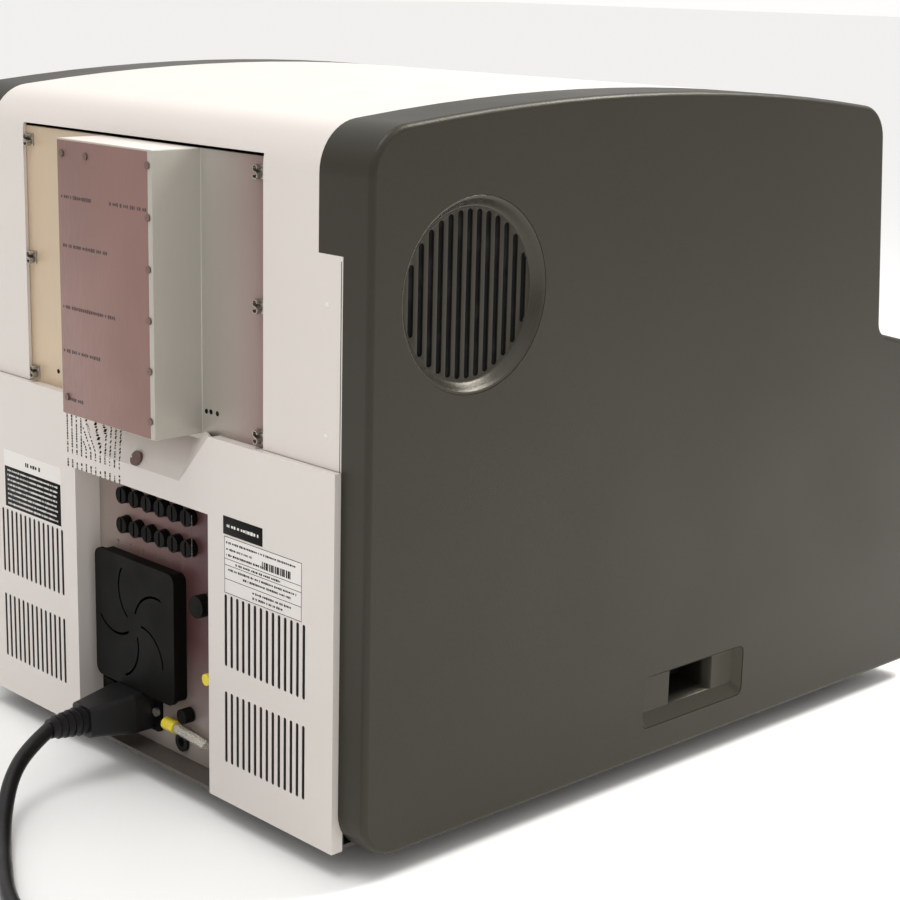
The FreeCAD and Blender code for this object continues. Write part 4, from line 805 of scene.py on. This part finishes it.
    def tray(self, name: str, rings: Sequence[tuple[float, float, float, float, float, float]],
             corner: int, coat: Coat) -> bpy.types.Object:
        """A moulded tray facing X, made ring by ring from a rounded rectangle.

        Args:
            name: the piece's name.
            rings: x, lowest y, highest y, lowest z, highest z and corner radius of each ring.
            corner: faces in each rounded corner.
            coat: its finish.
        Returns:
            The finished tray, closed at its last ring.
        """
        self.clear()
        outlines = []
        for x, y0, y1, z0, z1, radius in rings:
            outline = []
            for turn, (y, z) in enumerate(((y1 - radius, z1 - radius), (y0 + radius, z1 - radius),
                                           (y0 + radius, z0 + radius), (y1 - radius, z0 + radius))):
                for step in range(corner + 1):
                    angle = math.pi / 2 * (turn + step / corner)
                    outline.append((x, y + radius * math.cos(angle), z + radius * math.sin(angle)))
            outlines.append(outline)
        sides = len(outlines[0])
        bpy.ops.mesh.primitive_circle_add(vertices=sides, radius=1.0, fill_type="NOTHING")
        piece = bpy.context.object
        bpy.ops.object.mode_set(mode="EDIT")
        bpy.ops.mesh.select_all(action="SELECT")
        for _ in outlines[1:]:
            bpy.ops.mesh.extrude_edges_move(TRANSFORM_OT_translate={"value": (0.0, 0.0, 1.0)})
        bpy.ops.mesh.edge_face_add()
        bpy.ops.object.mode_set(mode="OBJECT")
        layers: dict[int, list[int]] = {}
        for vertex in piece.data.vertices:
            layers.setdefault(round(vertex.co.z), []).append(vertex.index)
        for level, members in layers.items():
            places = {i: piece.data.vertices[i].co.copy() for i in members}
            members.sort(key=lambda i: (math.atan2(places[i].y, places[i].x) + 0.001) % (2 * math.pi))
            for slot, i in enumerate(members):
                piece.data.vertices[i].co = outlines[level][slot]
        wall = piece.modifiers.new("wall", "SOLIDIFY")
        wall.thickness = 0.0010
        wall.offset = 0.0
        bpy.ops.object.modifier_apply(modifier=wall.name)
        bpy.ops.object.mode_set(mode="EDIT")
        bpy.ops.mesh.select_all(action="SELECT")
        bpy.ops.mesh.normals_make_consistent(inside=False)
        bpy.ops.object.mode_set(mode="OBJECT")
        return self.finish(piece, name, coat)

    def join(self, name: str, pieces: Sequence[bpy.types.Object]) -> bpy.types.Object:
        """Put several pieces into one object, each with its own finish."""
        self.clear()
        for piece in pieces:
            piece.select_set(True)
        bpy.context.view_layer.objects.active = pieces[0]
        if len(pieces) > 1:
            bpy.ops.object.join()
        pieces[0].name = name
        pieces[0].data.name = name
        return pieces[0]


@dataclass
class Marks:
    """Plain dashes that stand where the machine carries small print, thin as ink."""

    bench: Bench
    face_y: float
    coat: Coat = Coat.INK
    seed: int = 7
    bars: list[tuple[float, float, float, float]] = field(default_factory=list)

    def __post_init__(self) -> None:
        """Start the seeded row of dash lengths."""
        self.dice = random.Random(self.seed)

    def bar(self, x0: float, x1: float, z0: float, z1: float) -> None:
        """Note one flat bar between two corners on the face."""
        self.bars.append((min(x0, x1), max(x0, x1), min(z0, z1), max(z0, z1)))

    def row(self, start: float, end: float, across: float, tall: float, upright: bool = False,
            dash: float = 1.2) -> None:
        """A row of uneven dashes.

        Args:
            start: where the row starts, along X or, if upright, along Z.
            end: where it ends.
            across: the other coordinate of the row's middle line.
            tall: height of the dashes.
            upright: whether the row runs along Z.
            dash: longest dash, as a multiple of the height.
        """
        along = start
        sign = 1.0 if end > start else -1.0
        while (end - along) * sign > tall * 0.4:
            stop = along + sign * min(tall * self.dice.uniform(0.4, dash), abs(end - along))
            high = tall * self.dice.choice((0.7, 0.85, 1.0)) / 2
            if upright:
                self.bar(across - high, across + high, along, stop)
            else:
                self.bar(along, stop, across - high, across + high)
            along = stop + sign * tall * self.dice.choice((0.25, 0.25, 0.25, 0.8))

    def lean(self, start: float, share: float, widest: float) -> None:
        """Slant the marks that stand over a slope.

        Args:
            start: height at which the slope starts.
            share: shift along X for each unit of height above it.
            widest: the marks past this X stay as they are, and those that would pass it go.
        """
        leant = []
        for x0, x1, z0, z1 in self.bars:
            shift = share * max(0.0, z0 - start) if x1 < widest else 0.0
            if x1 >= widest or x1 + shift < widest:
                leant.append((x0 + shift, x1 + shift, z0, z1))
        self.bars = leant

    def finished(self, name: str, onto: bpy.types.Object | None = None) -> bpy.types.Object:
        """All the marks as one flat piece.

        Args:
            name: the piece's name.
            onto: a surface to press the marks onto, where it isn't flat.
        Returns:
            The finished piece, facing +Y.
        """
        bench = self.bench
        bench.clear()
        bpy.ops.mesh.primitive_plane_add(size=1.0, location=(0.0, 0.0, 0.0))
        piece = bpy.context.object
        bpy.ops.object.mode_set(mode="EDIT")
        bpy.ops.mesh.select_all(action="SELECT")
        bpy.ops.mesh.delete(type="VERT")
        for x0, x1, z0, z1 in self.bars:
            middle = ((x0 + x1) / 2, self.face_y, (z0 + z1) / 2)
            bpy.ops.mesh.primitive_plane_add(size=1.0, location=middle, rotation=(-math.pi / 2, 0.0, 0.0))
            bpy.ops.transform.resize(value=(x1 - x0, 1.0, z1 - z0), center_override=middle)
        bpy.ops.object.mode_set(mode="OBJECT")
        if onto is not None:
            press = piece.modifiers.new("press", "SHRINKWRAP")
            press.target = onto
            press.wrap_method = "PROJECT"
            press.use_project_y = True
            press.use_negative_direction = True
            press.use_positive_direction = False
            press.offset = 0.00012
            bpy.ops.object.modifier_apply(modifier=press.name)
        return bench.finish(piece, name, self.coat)


@dataclass
class SubAssembly:
    """A part of the machine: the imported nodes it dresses, and the pieces it adds."""

    bench: Bench
    nodes: dict[str, bpy.types.Object]
    coats: dict[str, Coat] = field(default_factory=dict)

    def dress(self) -> None:
        """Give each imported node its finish."""
        for node, coat in self.coats.items():
            target = self.nodes[node]
            for slot in target.material_slots:
                slot.material = self.bench.paints.get(coat)
            LOG.info("dressed %s in %s", node, coat.value.name)

    def build(self) -> None:
        """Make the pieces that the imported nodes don't show."""

    def fit(self, piece: bpy.types.Object, body: str, slot: str, *stands_for: str) -> None:
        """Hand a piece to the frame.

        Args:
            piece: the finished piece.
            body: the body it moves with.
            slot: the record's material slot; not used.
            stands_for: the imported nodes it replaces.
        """
        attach(piece, body)
        if stands_for:
            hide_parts(*stands_for)
        LOG.info("made %s on %s", piece.name, body)


@dataclass(frozen=True)
class CameraPlace:
    """The photograph's camera."""

    position: Point = (-1.098, 1.053, 0.570)
    azimuth: float = 226.2
    elevation: float = 13.66
    roll: float = 1.35
    lens_mm: float = 78.3
    sensor_mm: float = 36.0

    def make(self) -> None:
        """Add the camera and make it the scene's."""
        turn = math.radians(self.azimuth)
        rise = math.radians(self.elevation)
        back = Vector((math.sin(turn) * math.cos(rise), -math.cos(turn) * math.cos(rise), math.sin(rise)))
        right = Vector((math.cos(turn), math.sin(turn), 0.0))
        lift = back.cross(right)
        lean = Matrix.Rotation(math.radians(self.roll), 3, "Z")
        frame = Matrix((right, lift, back)).transposed() @ lean
        data = bpy.data.cameras.new("camera")
        data.lens = self.lens_mm
        data.sensor_width = self.sensor_mm
        data.clip_start = 0.05
        camera = bpy.data.objects.new("photo_camera", data)
        camera.matrix_world = Matrix.Translation(self.position) @ frame.to_4x4()
        bpy.context.collection.objects.link(camera)
        bpy.context.scene.camera = camera


@dataclass(frozen=True)
class SoftLight:
    """One large soft lamp."""

    name: str
    place: Point
    target: Point
    size: float
    watts: float
    colour: Colour = (1.0, 1.0, 1.0)

    def make(self) -> None:
        """Add the lamp, aimed at its target."""
        data = bpy.data.lights.new(self.name, "AREA")
        data.shape = "SQUARE"
        data.size = self.size
        data.energy = self.watts
        data.color = self.colour
        lamp = bpy.data.objects.new(self.name, data)
        aim = Vector(self.place) - Vector(self.target)
        lamp.matrix_world = Matrix.Translation(self.place) @ aim.to_track_quat("Z", "Y").to_matrix().to_4x4()
        bpy.context.collection.objects.link(lamp)


@dataclass(frozen=True)
class Studio:
    """Pale floor, even sky and soft lamps."""

    floor_size: float = 60.0
    floor_colour: Colour = (0.95, 0.95, 0.945)
    sky_colour: Colour = (1.0, 0.99, 0.98)
    low_sky: float = 0.43
    high_sky: float = 1.20
    backdrop: float = 1.0

    def make(self) -> None:
        """Add the floor, the world and the lamps."""
        bpy.ops.object.select_all(action="DESELECT")
        bpy.ops.mesh.primitive_plane_add(size=self.floor_size, location=(0.0, 0.0, 0.0))
        floor = bpy.context.object
        floor.name = "floor"
        floor.data.materials.append(Finish("floor_paint", self.floor_colour, 0.8).make())
        world = bpy.data.worlds.new("sky")
        bpy.context.scene.world = world
        world.use_nodes = True
        sky = world.node_tree.nodes["Background"]
        sky.inputs["Color"].default_value = (*self.sky_colour, 1.0)
        split = world.node_tree.nodes.new("ShaderNodeSeparateXYZ")
        rise = world.node_tree.nodes.new("ShaderNodeMapRange")
        rise.inputs["To Min"].default_value = self.low_sky
        rise.inputs["To Max"].default_value = self.high_sky
        coords = world.node_tree.nodes.new("ShaderNodeTexCoord").outputs["Generated"]
        world.node_tree.links.new(coords, split.inputs["Vector"])
        world.node_tree.links.new(split.outputs["Z"], rise.inputs["Value"])
        seen = world.node_tree.nodes.new("ShaderNodeMath")
        seen.operation = "MULTIPLY"
        seen.inputs[1].default_value = self.backdrop
        ray = world.node_tree.nodes.new("ShaderNodeLightPath").outputs["Is Camera Ray"]
        glow = world.node_tree.nodes.new("ShaderNodeMath")
        glow.operation = "MAXIMUM"
        world.node_tree.links.new(ray, seen.inputs[0])
        world.node_tree.links.new(rise.outputs["Result"], glow.inputs[0])
        world.node_tree.links.new(seen.outputs["Value"], glow.inputs[1])
        world.node_tree.links.new(glow.outputs["Value"], sky.inputs["Strength"])
        target = (0.0, 0.0, 0.25)
        bpy.context.scene.view_settings.view_transform = "Standard"
        for lamp in (
            SoftLight("over_lamp", (0.0, 0.9, 2.3), target, 1.0, 14.5, (1.0, 0.99, 0.97)),
            SoftLight("side_lamp", (-0.66, -1.10, 1.80), target, 0.65, 36.0, (1.0, 0.97, 0.93)),
        ):
            lamp.make()


@dataclass
class MainsLead(SubAssembly):
    """The mains lead: plug, strain relief, free stretch, stored turns and wall plug."""

    diameter: float = 0.011
    route: tuple[Point, ...] = (
        (0.0285, 0.3578, 0.0460), (0.0230, 0.3790, 0.0385), (0.0090, 0.4010, 0.0280),
        (-0.0110, 0.4190, 0.0150), (-0.0370, 0.4360, 0.0065), (-0.0700, 0.4550, 0.0056),
        (-0.1080, 0.4750, 0.0056), (-0.1560, 0.4890, 0.0056), (-0.2050, 0.4870, 0.0056),
    )
    tail: tuple[Point, ...] = (
        (-0.2050, 0.6180, 0.0276), (-0.1700, 0.6170, 0.0255), (-0.1360, 0.6130, 0.0215),
        (-0.1030, 0.6050, 0.0182),
    )
    coil_middle: tuple[float, float] = (-0.205, 0.5525)
    turn_radius: float = 0.060
    points_per_turn: int = 24
    turn_advance: float = 316.0
    change_arc: float = 44.0
    exit_phase: float = 1620.0

    def coil_point(self, phase: float) -> Point:
        """Point of the stored turns after a number of degrees round the coil."""
        step = self.diameter / 2
        low, middle, top = (0.0056 + self.diameter * level for level in range(3))
        inner, outer = self.turn_radius - step, self.turn_radius + step
        lanes = ((outer, low), (inner, low), (inner, middle), (outer, middle), (inner, top), (outer, top))
        lane = min(int(phase // self.turn_advance), len(lanes) - 1)
        along = phase - lane * self.turn_advance - (self.turn_advance - self.change_arc)
        share = max(0.0, min(1.0, along / self.change_arc)) if lane < len(lanes) - 1 else 0.0
        share = share * share * (3 - 2 * share)
        following = lanes[min(lane + 1, len(lanes) - 1)]
        radius = lanes[lane][0] + (following[0] - lanes[lane][0]) * share
        height = lanes[lane][1] + (following[1] - lanes[lane][1]) * share
        swing = radius / math.cos(math.pi / self.points_per_turn)
        angle = math.radians(-90.0 - phase)
        return (self.coil_middle[0] + swing * math.cos(angle),
                self.coil_middle[1] + swing * math.sin(angle), height)

    def points(self) -> list[Point]:
        """Control points of the whole lead, from the strain relief to the wall plug."""
        spacing = 360.0 / self.points_per_turn
        count = int(self.exit_phase / spacing)
        turns = [self.coil_point(spacing * i) for i in range(1, count)]
        return [*self.route, *turns, *self.tail]

    def build(self) -> None:
        curve = bpy.data.curves.new("mains_lead", "CURVE")
        curve.dimensions = "3D"
        curve.resolution_u = 8
        curve.bevel_depth = self.diameter / 2
        curve.bevel_resolution = 6
        points = self.points()
        spline = curve.splines.new("NURBS")
        spline.points.add(len(points) - 1)
        for slot, place in zip(spline.points, points):
            slot.co = (*place, 1.0)
        spline.order_u = 3
        spline.use_endpoint_u = True
        curve.materials.append(self.bench.paints.get(Coat.CORD))
        lead = bpy.data.objects.new("mains_lead", curve)
        bpy.context.collection.objects.link(lead)
        self.fit(lead, "machine", "cord_jacket", "cord_tube", "cord_coil")


@dataclass
class Cabinet(SubAssembly):
    """The casings: panels, hood, front sheets, flap and the chassis behind them."""

    coats: dict[str, Coat] = field(default_factory=lambda: {
        "side_panel_left": Coat.GREY_PANEL, "side_panel_right": Coat.GREY_PANEL,
        "side_grille": Coat.GREY_PANEL, "lift_recesses": Coat.RECESS,
        "top_hood": Coat.WHITE_SHEET, "front_panel": Coat.WHITE_PLASTIC,
        "status_lenses": Coat.LENS_LIGHT, "load_button": Coat.WHITE_PLASTIC,
        "nose_cover": Coat.WHITE_PLASTIC, "front_flap": Coat.WHITE_PLASTIC,
        "flap_pins": Coat.STEEL, "base_plate": Coat.FLOOR_PAN, "feet": Coat.RUBBER,
        "chassis_wall_left": Coat.ZINC, "chassis_wall_right": Coat.ZINC,
        # rear_frame wears painted shade: near black, for the dark behind the vent slots.
        "rear_frame": Coat.BACK_SHEET, "rear_lower_cover": Coat.SLOTTED,
    })
    dish_steps: tuple[tuple[float, float], ...] = (
        (0.0655, -0.0084), (0.0629, -0.0084), (0.0629, -0.0003), (0.0624, 0.0), (0.0614, -0.0003),
        (0.0604, -0.0012), (0.0591, -0.0030), (0.0577, -0.0049), (0.0565, -0.0063), (0.0557, -0.0070),
        (0.0545, -0.0072),
    )
    dish_depth: float = 0.0086
    plate_radius: float = 0.0552
    plate_depths: tuple[float, float] = (0.0080, 0.0070)
    # Depths of the near-black painted-shade disc behind the slots.
    shade_sheet_depths: tuple[float, float] = (0.0083, 0.0081)
    tray_margin: float = 0.0041
    tray_depth: float = 0.0060
    tray_sunk: float = 0.0007
    tray_edge: float = 0.0006
    tray_corner_faces: int = 5
    tray_walls: tuple[float, float, float, float] = (0.0080, 0.0026, 0.0100, 0.0028)
    pocket_middle: tuple[float, float] = (-0.033, 0.0632)
    pocket_half: tuple[float, float] = (0.025, 0.0138)
    pocket_depth: float = 0.034
    seam_x: float = -0.2086
    seam_width: float = 0.0006
    seam_z: tuple[float, float] = (0.2585, 0.4010)
    dimple_x: float = -0.1958
    dimple_z: tuple[float, float] = (0.3732, 0.2910)
    dimple_rings: tuple[tuple[float, float], ...] = ((0.0018, -0.0002), (0.0018, 0.0002), (0.0012, 0.0006))
    slot_count: int = 13
    slot_pitch: float = 0.00814
    slot_width: float = 0.0045
    slot_circle: float = 0.0538

    def build(self) -> None:
        """Make the round grille, the lifting recesses and the hood's trim."""
        low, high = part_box("side_grille")
        middle = (low + high) / 2
        face = self.bench.slotted_disc(self, Vector((low.x, middle.y, middle.z)))
        self.fit(face, "machine", "grey_plastic", "side_grille")
        self.recess_trays()
        self.hood_trim()

    def recess_trays(self) -> None:
        """Lifting recess on each side: a shallow tray with a broad lower lip and a finger pocket."""
        low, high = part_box("lift_recesses")
        margin, edge = self.tray_margin, self.tray_edge
        y0, y1, z0, z1 = low.y + margin, high.y - margin, low.z + margin, high.z - margin
        py, pz = self.pocket_middle
        hy, hz = self.pocket_half
        front, back, lip, top = self.tray_walls
        trays = []
        for side in (-1.0, 1.0):
            face = side * (high.x - self.tray_sunk)
            floor = side * (high.x - self.tray_depth)
            rings = (
                (face, y0, y1, z0, z1, 0.0057),
                (face - side * edge, y0 + edge, y1 - edge, z0 + 0.0009, z1 - edge, 0.0052),
                (floor + side * edge, y0 + front - 0.0008, y1 - back + 0.0003, z0 + lip - 0.0009,
                 z1 - top + 0.0003, 0.0032),
                (floor, y0 + front, y1 - back, z0 + lip, z1 - top, 0.0028),
                (floor, py - hy, py + hy, pz - hz, pz + hz, 0.0022),
                (floor - side * 0.0010, py - hy + edge, py + hy - edge, pz - hz + edge, pz + hz - edge,
                 0.0020),
                (side * (high.x - self.pocket_depth), py - hy + 0.004, py + hy - 0.0012, pz - hz + 0.007,
                 pz + hz - 0.0012, 0.0018),
            )
            trays.append(self.bench.tray("recess", rings, self.tray_corner_faces, Coat.RECESS))
        self.fit(self.bench.join("recess_trays", trays), "machine", "pocket_plastic", "lift_recesses")

    def hood_trim(self) -> None:
        """Two small dimples in a brighter white as a painted highlight, and a thin dark line as painted shade
        in the seam between the hood and the left panel.
        """
        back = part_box("top_hood")[1].y
        # Painted highlight: the dimples wear the label white, brighter than the hood, so that they read as
        # bright dots.
        dimples = [self.bench.turned("dimple", (self.dimple_x, back, z), Axis.Y, self.dimple_rings,
                                     Coat.LABEL, sides=20) for z in self.dimple_z]
        self.fit(self.bench.join("hood_dimples", dimples), "machine", "white_paint")
        # Painted shade: a thin dark strip drawn on the hood where the seam's gap lies in shadow.
        seam = Marks(self.bench, back + 0.0001)
        seam.bar(self.seam_x, self.seam_x - self.seam_width, *self.seam_z)
        self.fit(seam.finished("hood_seam_shade"), "machine", "white_paint")


@dataclass
class RearServices(SubAssembly):
    """Electronics cover, connector bay, fan, inlet and what is fixed there."""

    coats: dict[str, Coat] = field(default_factory=lambda: {
        "electronics_cover": Coat.BOX_METAL, "cover_clips": Coat.SPRING,
        "machine_screws": Coat.SCREW, "connector_panel": Coat.BAY_METAL,
        "fuse_holders": Coat.BLACK, "fuse_caps": Coat.BLACK,
        "rear_fan_frame": Coat.BLACK, "rear_fan_rotor": Coat.BLACK,
        "mains_inlet": Coat.BLACK, "mains_rocker": Coat.BLACK,
        "drain_caps": Coat.YELLOW, "drain_tube": Coat.CLEAR_TUBE,
        "cable_grommet": Coat.RUBBER, "thumb_screws": Coat.BLACK,
        "power_plug": Coat.CORD, "strain_relief": Coat.CORD, "wall_plug": Coat.CORD,
    })


@dataclass
class ElectronicsBox(SubAssembly):
    """The hat-shaped metal cover over the control boards, with its front plate and clips."""

    left_x: float = 0.0452
    right_x: float = -0.0645
    sheet: float = 0.0015
    fold: float = 0.0022
    rim: float = 0.0041
    drop: float = 0.0022
    tongue: float = 0.0070
    holes: tuple[tuple[float, float], ...] = ((-0.0690, 0.2840), (-0.0740, 0.2844), (-0.0810, 0.2844),
                                              (0.1107, 0.2820))
    hole_radius: float = 0.0017
    print_rows: tuple[tuple[float, float, float], ...] = (
        (0.0405, 0.002, 0.4187), (-0.0167, -0.0600, 0.4190), (0.0396, -0.0133, 0.3857),
        (0.0410, -0.0212, 0.3435), (0.0415, -0.0037, 0.3130), (0.0410, 0.0169, 0.2795),
    )
    print_height: float = 0.0026
    clip_inset: float = 0.005
    clip_foot: tuple[float, float, float] = (0.0042, 0.0009, 0.0045)
    clip_bend: float = 0.0022
    clip_wire: float = 0.0006

    def build(self) -> None:
        """Fold the cover, set its front plate and hang its clips."""
        low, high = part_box("electronics_cover")
        self.cover(low, high)
        self.clips()

    def cover(self, low: Vector, high: Vector) -> None:
        """Fold the cover from one strip along X, close its ends, and set the front plate."""
        bench = self.bench
        back, front = low.y + self.sheet / 2, high.y - self.sheet / 2 - 0.0002
        clip_top = high.z
        strip = ((low.x, back), (self.right_x + self.sheet / 2, back), (self.right_x + self.sheet / 2, front),
                 (self.left_x - self.sheet / 2, front), (self.left_x - self.sheet / 2, back), (high.x, back))
        base = low.z - self.drop
        folded = bench.folded_strip("box_folds", strip, base, clip_top - 0.0002,
                                    self.sheet, self.fold, Coat.BOX_METAL)
        # Painted light: the top closing wears the white sheet paint instead of the box metal, for the
        # brightly lit top of the box.
        ends = [bench.block("box_end", (self.right_x + 0.001, back, z0),
                            (self.left_x - 0.001, front - 0.0008, z0 + self.sheet), coat, 0.0003)
                for z0, coat in ((base + 0.0002, Coat.BOX_METAL), (clip_top - 0.0018, Coat.WHITE_SHEET))]
        ends.append(bench.block("box_tongue", (self.right_x - 0.027, back - 0.0005, low.z - self.tongue),
                                (self.left_x + 0.014, back + 0.0005, low.z + 0.002), Coat.BOX_METAL))
        plate = bench.block("box_front", (self.right_x + self.rim, high.y - 0.0009, base + 0.0004),
                            (self.left_x - 0.0008, high.y - 0.0001, clip_top - 0.0012),
                            Coat.BOX_FRONT, 0.0003)
        face = low.y + self.sheet
        # Painted shade: a near-black disc at each hole in the flange stands for the shade inside it.
        spots = [bench.turned("box_hole_shade", (x, face, z), Axis.Y,
                              [(self.hole_radius, -0.0004), (self.hole_radius, 0.00015),
                               (self.hole_radius * 0.7, 0.0001)], Coat.DARK_SHEET, sides=20)
                 for x, z in self.holes]
        box = bench.join("electronics_box", [folded, *ends, plate, *spots])
        self.fit(box, "machine", "satin_aluminium", "electronics_cover")
        marks = Marks(bench, high.y - 0.00003, Coat.FADED_INK)
        for start, end, z in self.print_rows:
            marks.row(start, end, z, self.print_height, dash=0.8)
        self.fit(marks.finished("box_marks"), "machine", "satin_aluminium")

    def clips(self) -> None:
        """Six wire clips, each a flat foot and a rolled spring."""
        low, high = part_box("cover_clips")
        inset, bend = self.clip_inset, self.clip_bend
        wide, thick, tall = self.clip_foot
        heights = [low.z + inset + i * (high.z - low.z - 2 * inset) / 2 for i in range(3)]
        pieces = []
        path = [(bend * math.cos(math.radians(a)), bend + bend * math.sin(math.radians(a)))
                for a in range(0, 271, 30)]
        path += [(-x, -y) for x, y in reversed(path[:-1])]
        for edge in (high.x - inset, low.x + inset):
            for z in heights:
                pieces.append(self.bench.block("clip_foot", (edge - wide, low.y, z - tall),
                                               (edge + wide, low.y + thick, z + tall), Coat.SPRING, 0.0003))
                roll = self.bench.folded_strip("clip_roll", path, 0.0, high.y - low.y - 0.0012,
                                               self.clip_wire, 0.0001, Coat.SPRING)
                self.bench.point(roll, (edge, low.y + 0.0010, z), Axis.Y)
                pieces.append(roll)
        self.fit(self.bench.join("spring_clips", pieces), "machine", "spring_steel", "cover_clips")


@dataclass
class RearLabels(SubAssembly):
    """Plain label areas on the lower cover and tick marks on the connector panel."""

    paper: float = 0.0001
    ink: float = 0.00014
    rating_box: tuple[float, float, float, float] = (-0.0983, -0.1789, 0.1668, 0.2060)
    rating_lines: tuple[float, ...] = (0.1765, 0.1862, 0.1905)
    rating_rows: tuple[tuple[float, float, float], ...] = (
        (0.2020, 0.002, 0.075), (0.1975, 0.002, 0.030), (0.1935, 0.002, 0.045), (0.1884, 0.012, 0.060),
        (0.1835, 0.004, 0.076), (0.1800, 0.020, 0.070), (0.1735, 0.030, 0.070), (0.1700, 0.030, 0.062),
    )
    rule: float = 0.0004
    strokes: int = 16
    stroke_pitch: float = 0.0019
    stroke_z: tuple[float, float] = (0.1925, 0.1975)
    fuse_rows: int = 12
    fuse_row_x: float = 0.0885
    fuse_row_pitch: float = 0.00595
    fuse_row_tall: float = 0.0018
    slope: tuple[float, float, float] = (0.2330, 0.60, 0.0690)

    def build(self) -> None:
        """Stick the labels on."""
        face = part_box("rear_lower_cover")[1].y
        self.plate("plate_right", (-0.1388, -0.0971), (0.2074, 0.2198), face)
        self.plate("plate_left", (0.0997, 0.1768), (0.1680, 0.1997), face, lines=8)
        self.plate_paper("paper_left", (0.0985, 0.1780), (0.1665, 0.2125), face)
        self.rating(face)
        self.fuse_list(face)
        self.panel_ticks()

    def plate(self, name: str, across: tuple[float, float], up: tuple[float, float], face: float,
              lines: int = 1) -> None:
        """A black plate with pale dashes.

        Args:
            name: the piece's name.
            across: its ends along X.
            up: its ends along Z.
            face: the cover's face.
            lines: rows of dashes.
        """
        black = self.bench.block(name, (across[0], face, up[0]), (across[1], face + 0.00022, up[1]),
                                 Coat.INK, 0.00008)
        marks = Marks(self.bench, face + 0.00026, Coat.LABEL, seed=lines)
        pitch = (up[1] - up[0]) / (lines + 0.6)
        for i in range(lines):
            z = up[1] - pitch * (i + 0.8)
            marks.row(across[1] - 0.004, across[0] + 0.004, z, pitch * (0.42 if lines > 1 else 0.30))
        self.fit(self.bench.join(name, [black, marks.finished("print")]), "machine", "black_plastic")

    def plate_paper(self, name: str, across: tuple[float, float], up: tuple[float, float],
                    face: float) -> None:
        """White paper under the left plate, with a short heading of dashes."""
        paper = self.bench.block(name, (across[0], face, up[0]), (across[1], face + self.paper, up[1]),
                                 Coat.LABEL, 0.00003)
        marks = Marks(self.bench, face + self.ink, seed=3)
        marks.row(0.1475, 0.1265, 0.2055, 0.0032, dash=0.9)
        self.fit(self.bench.join(name, [paper, marks.finished("print")]), "machine", "white_paint")

    def rating(self, face: float) -> None:
        """White label with ruled boxes and dashes."""
        left, right, low, high = self.rating_box
        paper = self.bench.block("rating_label", (right, face, low), (left, face + self.paper, high),
                                 Coat.LABEL, 0.00003)
        marks = Marks(self.bench, face + self.ink, seed=11)
        for x in (left, right + self.rule):
            marks.bar(x - self.rule, x, low, high)
        for z in (low, *self.rating_lines, high - self.rule):
            marks.bar(left, right, z, z + self.rule)
        for z, start, end in self.rating_rows:
            marks.row(left - start, left - end, z, 0.0016, dash=1.2)
        for i in range(self.strokes):
            x = left - 0.040 - i * self.stroke_pitch
            marks.bar(x, x - 0.0009 - 0.0004 * (i % 3), *self.stroke_z)
        self.fit(self.bench.join("rating_label", [paper, marks.finished("print")]), "machine", "white_paint")

    def fuse_list(self, face: float) -> None:
        """Upright rows of dashes over the fuses, pressed onto the cover and its sunken slope."""
        marks = Marks(self.bench, face + 0.0001, seed=5)
        for i in range(self.fuse_rows):
            x = self.fuse_row_x - i * self.fuse_row_pitch
            marks.row(0.2165, 0.2225, x, self.fuse_row_tall, upright=True)
            marks.row(0.2270, 0.2570 - 0.0006 * (i % 4), x, self.fuse_row_tall, upright=True)
        marks.lean(*self.slope)
        self.fit(marks.finished("fuse_list", self.nodes["rear_lower_cover"]), "machine", "white_paint")

    def panel_ticks(self) -> None:
        """Short marks under the fuses, and dashes down the panel's edge."""
        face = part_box("connector_panel")[1].y
        low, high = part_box("fuse_caps")
        marks = Marks(self.bench, face + 0.00008, Coat.FADED_INK, seed=9)
        for i in range(6):
            x = high.x - 0.0062 - i * (high.x - low.x - 0.0124) / 5
            marks.bar(x - 0.0003, x + 0.0003, low.z - 0.0090, low.z - 0.0035)
            marks.row(x + 0.0020, x - 0.0020, low.z - 0.0045, 0.0012)
        marks.row(0.2060, 0.1700, -0.0445, 0.0016, upright=True)
        self.fit(marks.finished("panel_marks"), "machine", "bay_steel")


@dataclass
class Interior(SubAssembly):
    """What the machine holds inside: cycler, loader, lid, optics and power."""

    coats: dict[str, Coat] = field(default_factory=lambda: {
        "side_fan_frame": Coat.BLACK, "side_fan_rotor": Coat.BLACK,
        "power_supply": Coat.ZINC, "main_board": Coat.BOARD, "block_tray": Coat.ZINC,
        "heat_sink": Coat.BRIGHT, "peltier_modules": Coat.CERAMIC, "thermal_block": Coat.BRIGHT,
        "loader_rails": Coat.ANODISED, "plate_loader": Coat.ANODISED, "drive_roller": Coat.RUBBER,
        "loader_motor": Coat.ANODISED, "heated_lid": Coat.BRIGHT, "lid_rods": Coat.STEEL,
        "lid_actuator": Coat.ANODISED, "optics_shelf": Coat.ZINC, "field_lens": Coat.OPTIC,
        "fold_mirror": Coat.MIRROR, "emission_wheel": Coat.ANODISED,
        "excitation_wheel": Coat.ANODISED, "wheel_motors": Coat.ANODISED,
        "camera": Coat.ANODISED, "lamp_housing": Coat.ANODISED, "light_tunnel": Coat.ANODISED,
    })


def main() -> None:
    """Build the scene in order: frame, camera, lead, sub-assemblies, studio."""
    logging.basicConfig(level=logging.INFO, format="%(message)s")
    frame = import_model()
    bench = Bench(Paintbox())
    CameraPlace().make()
    for kind in (MainsLead, Cabinet, RearServices, ElectronicsBox, RearLabels, Interior):
        part = kind(bench, frame["nodes"])
        part.dress()
        part.build()
    Studio().make()


if __name__ == "__main__":
    main()
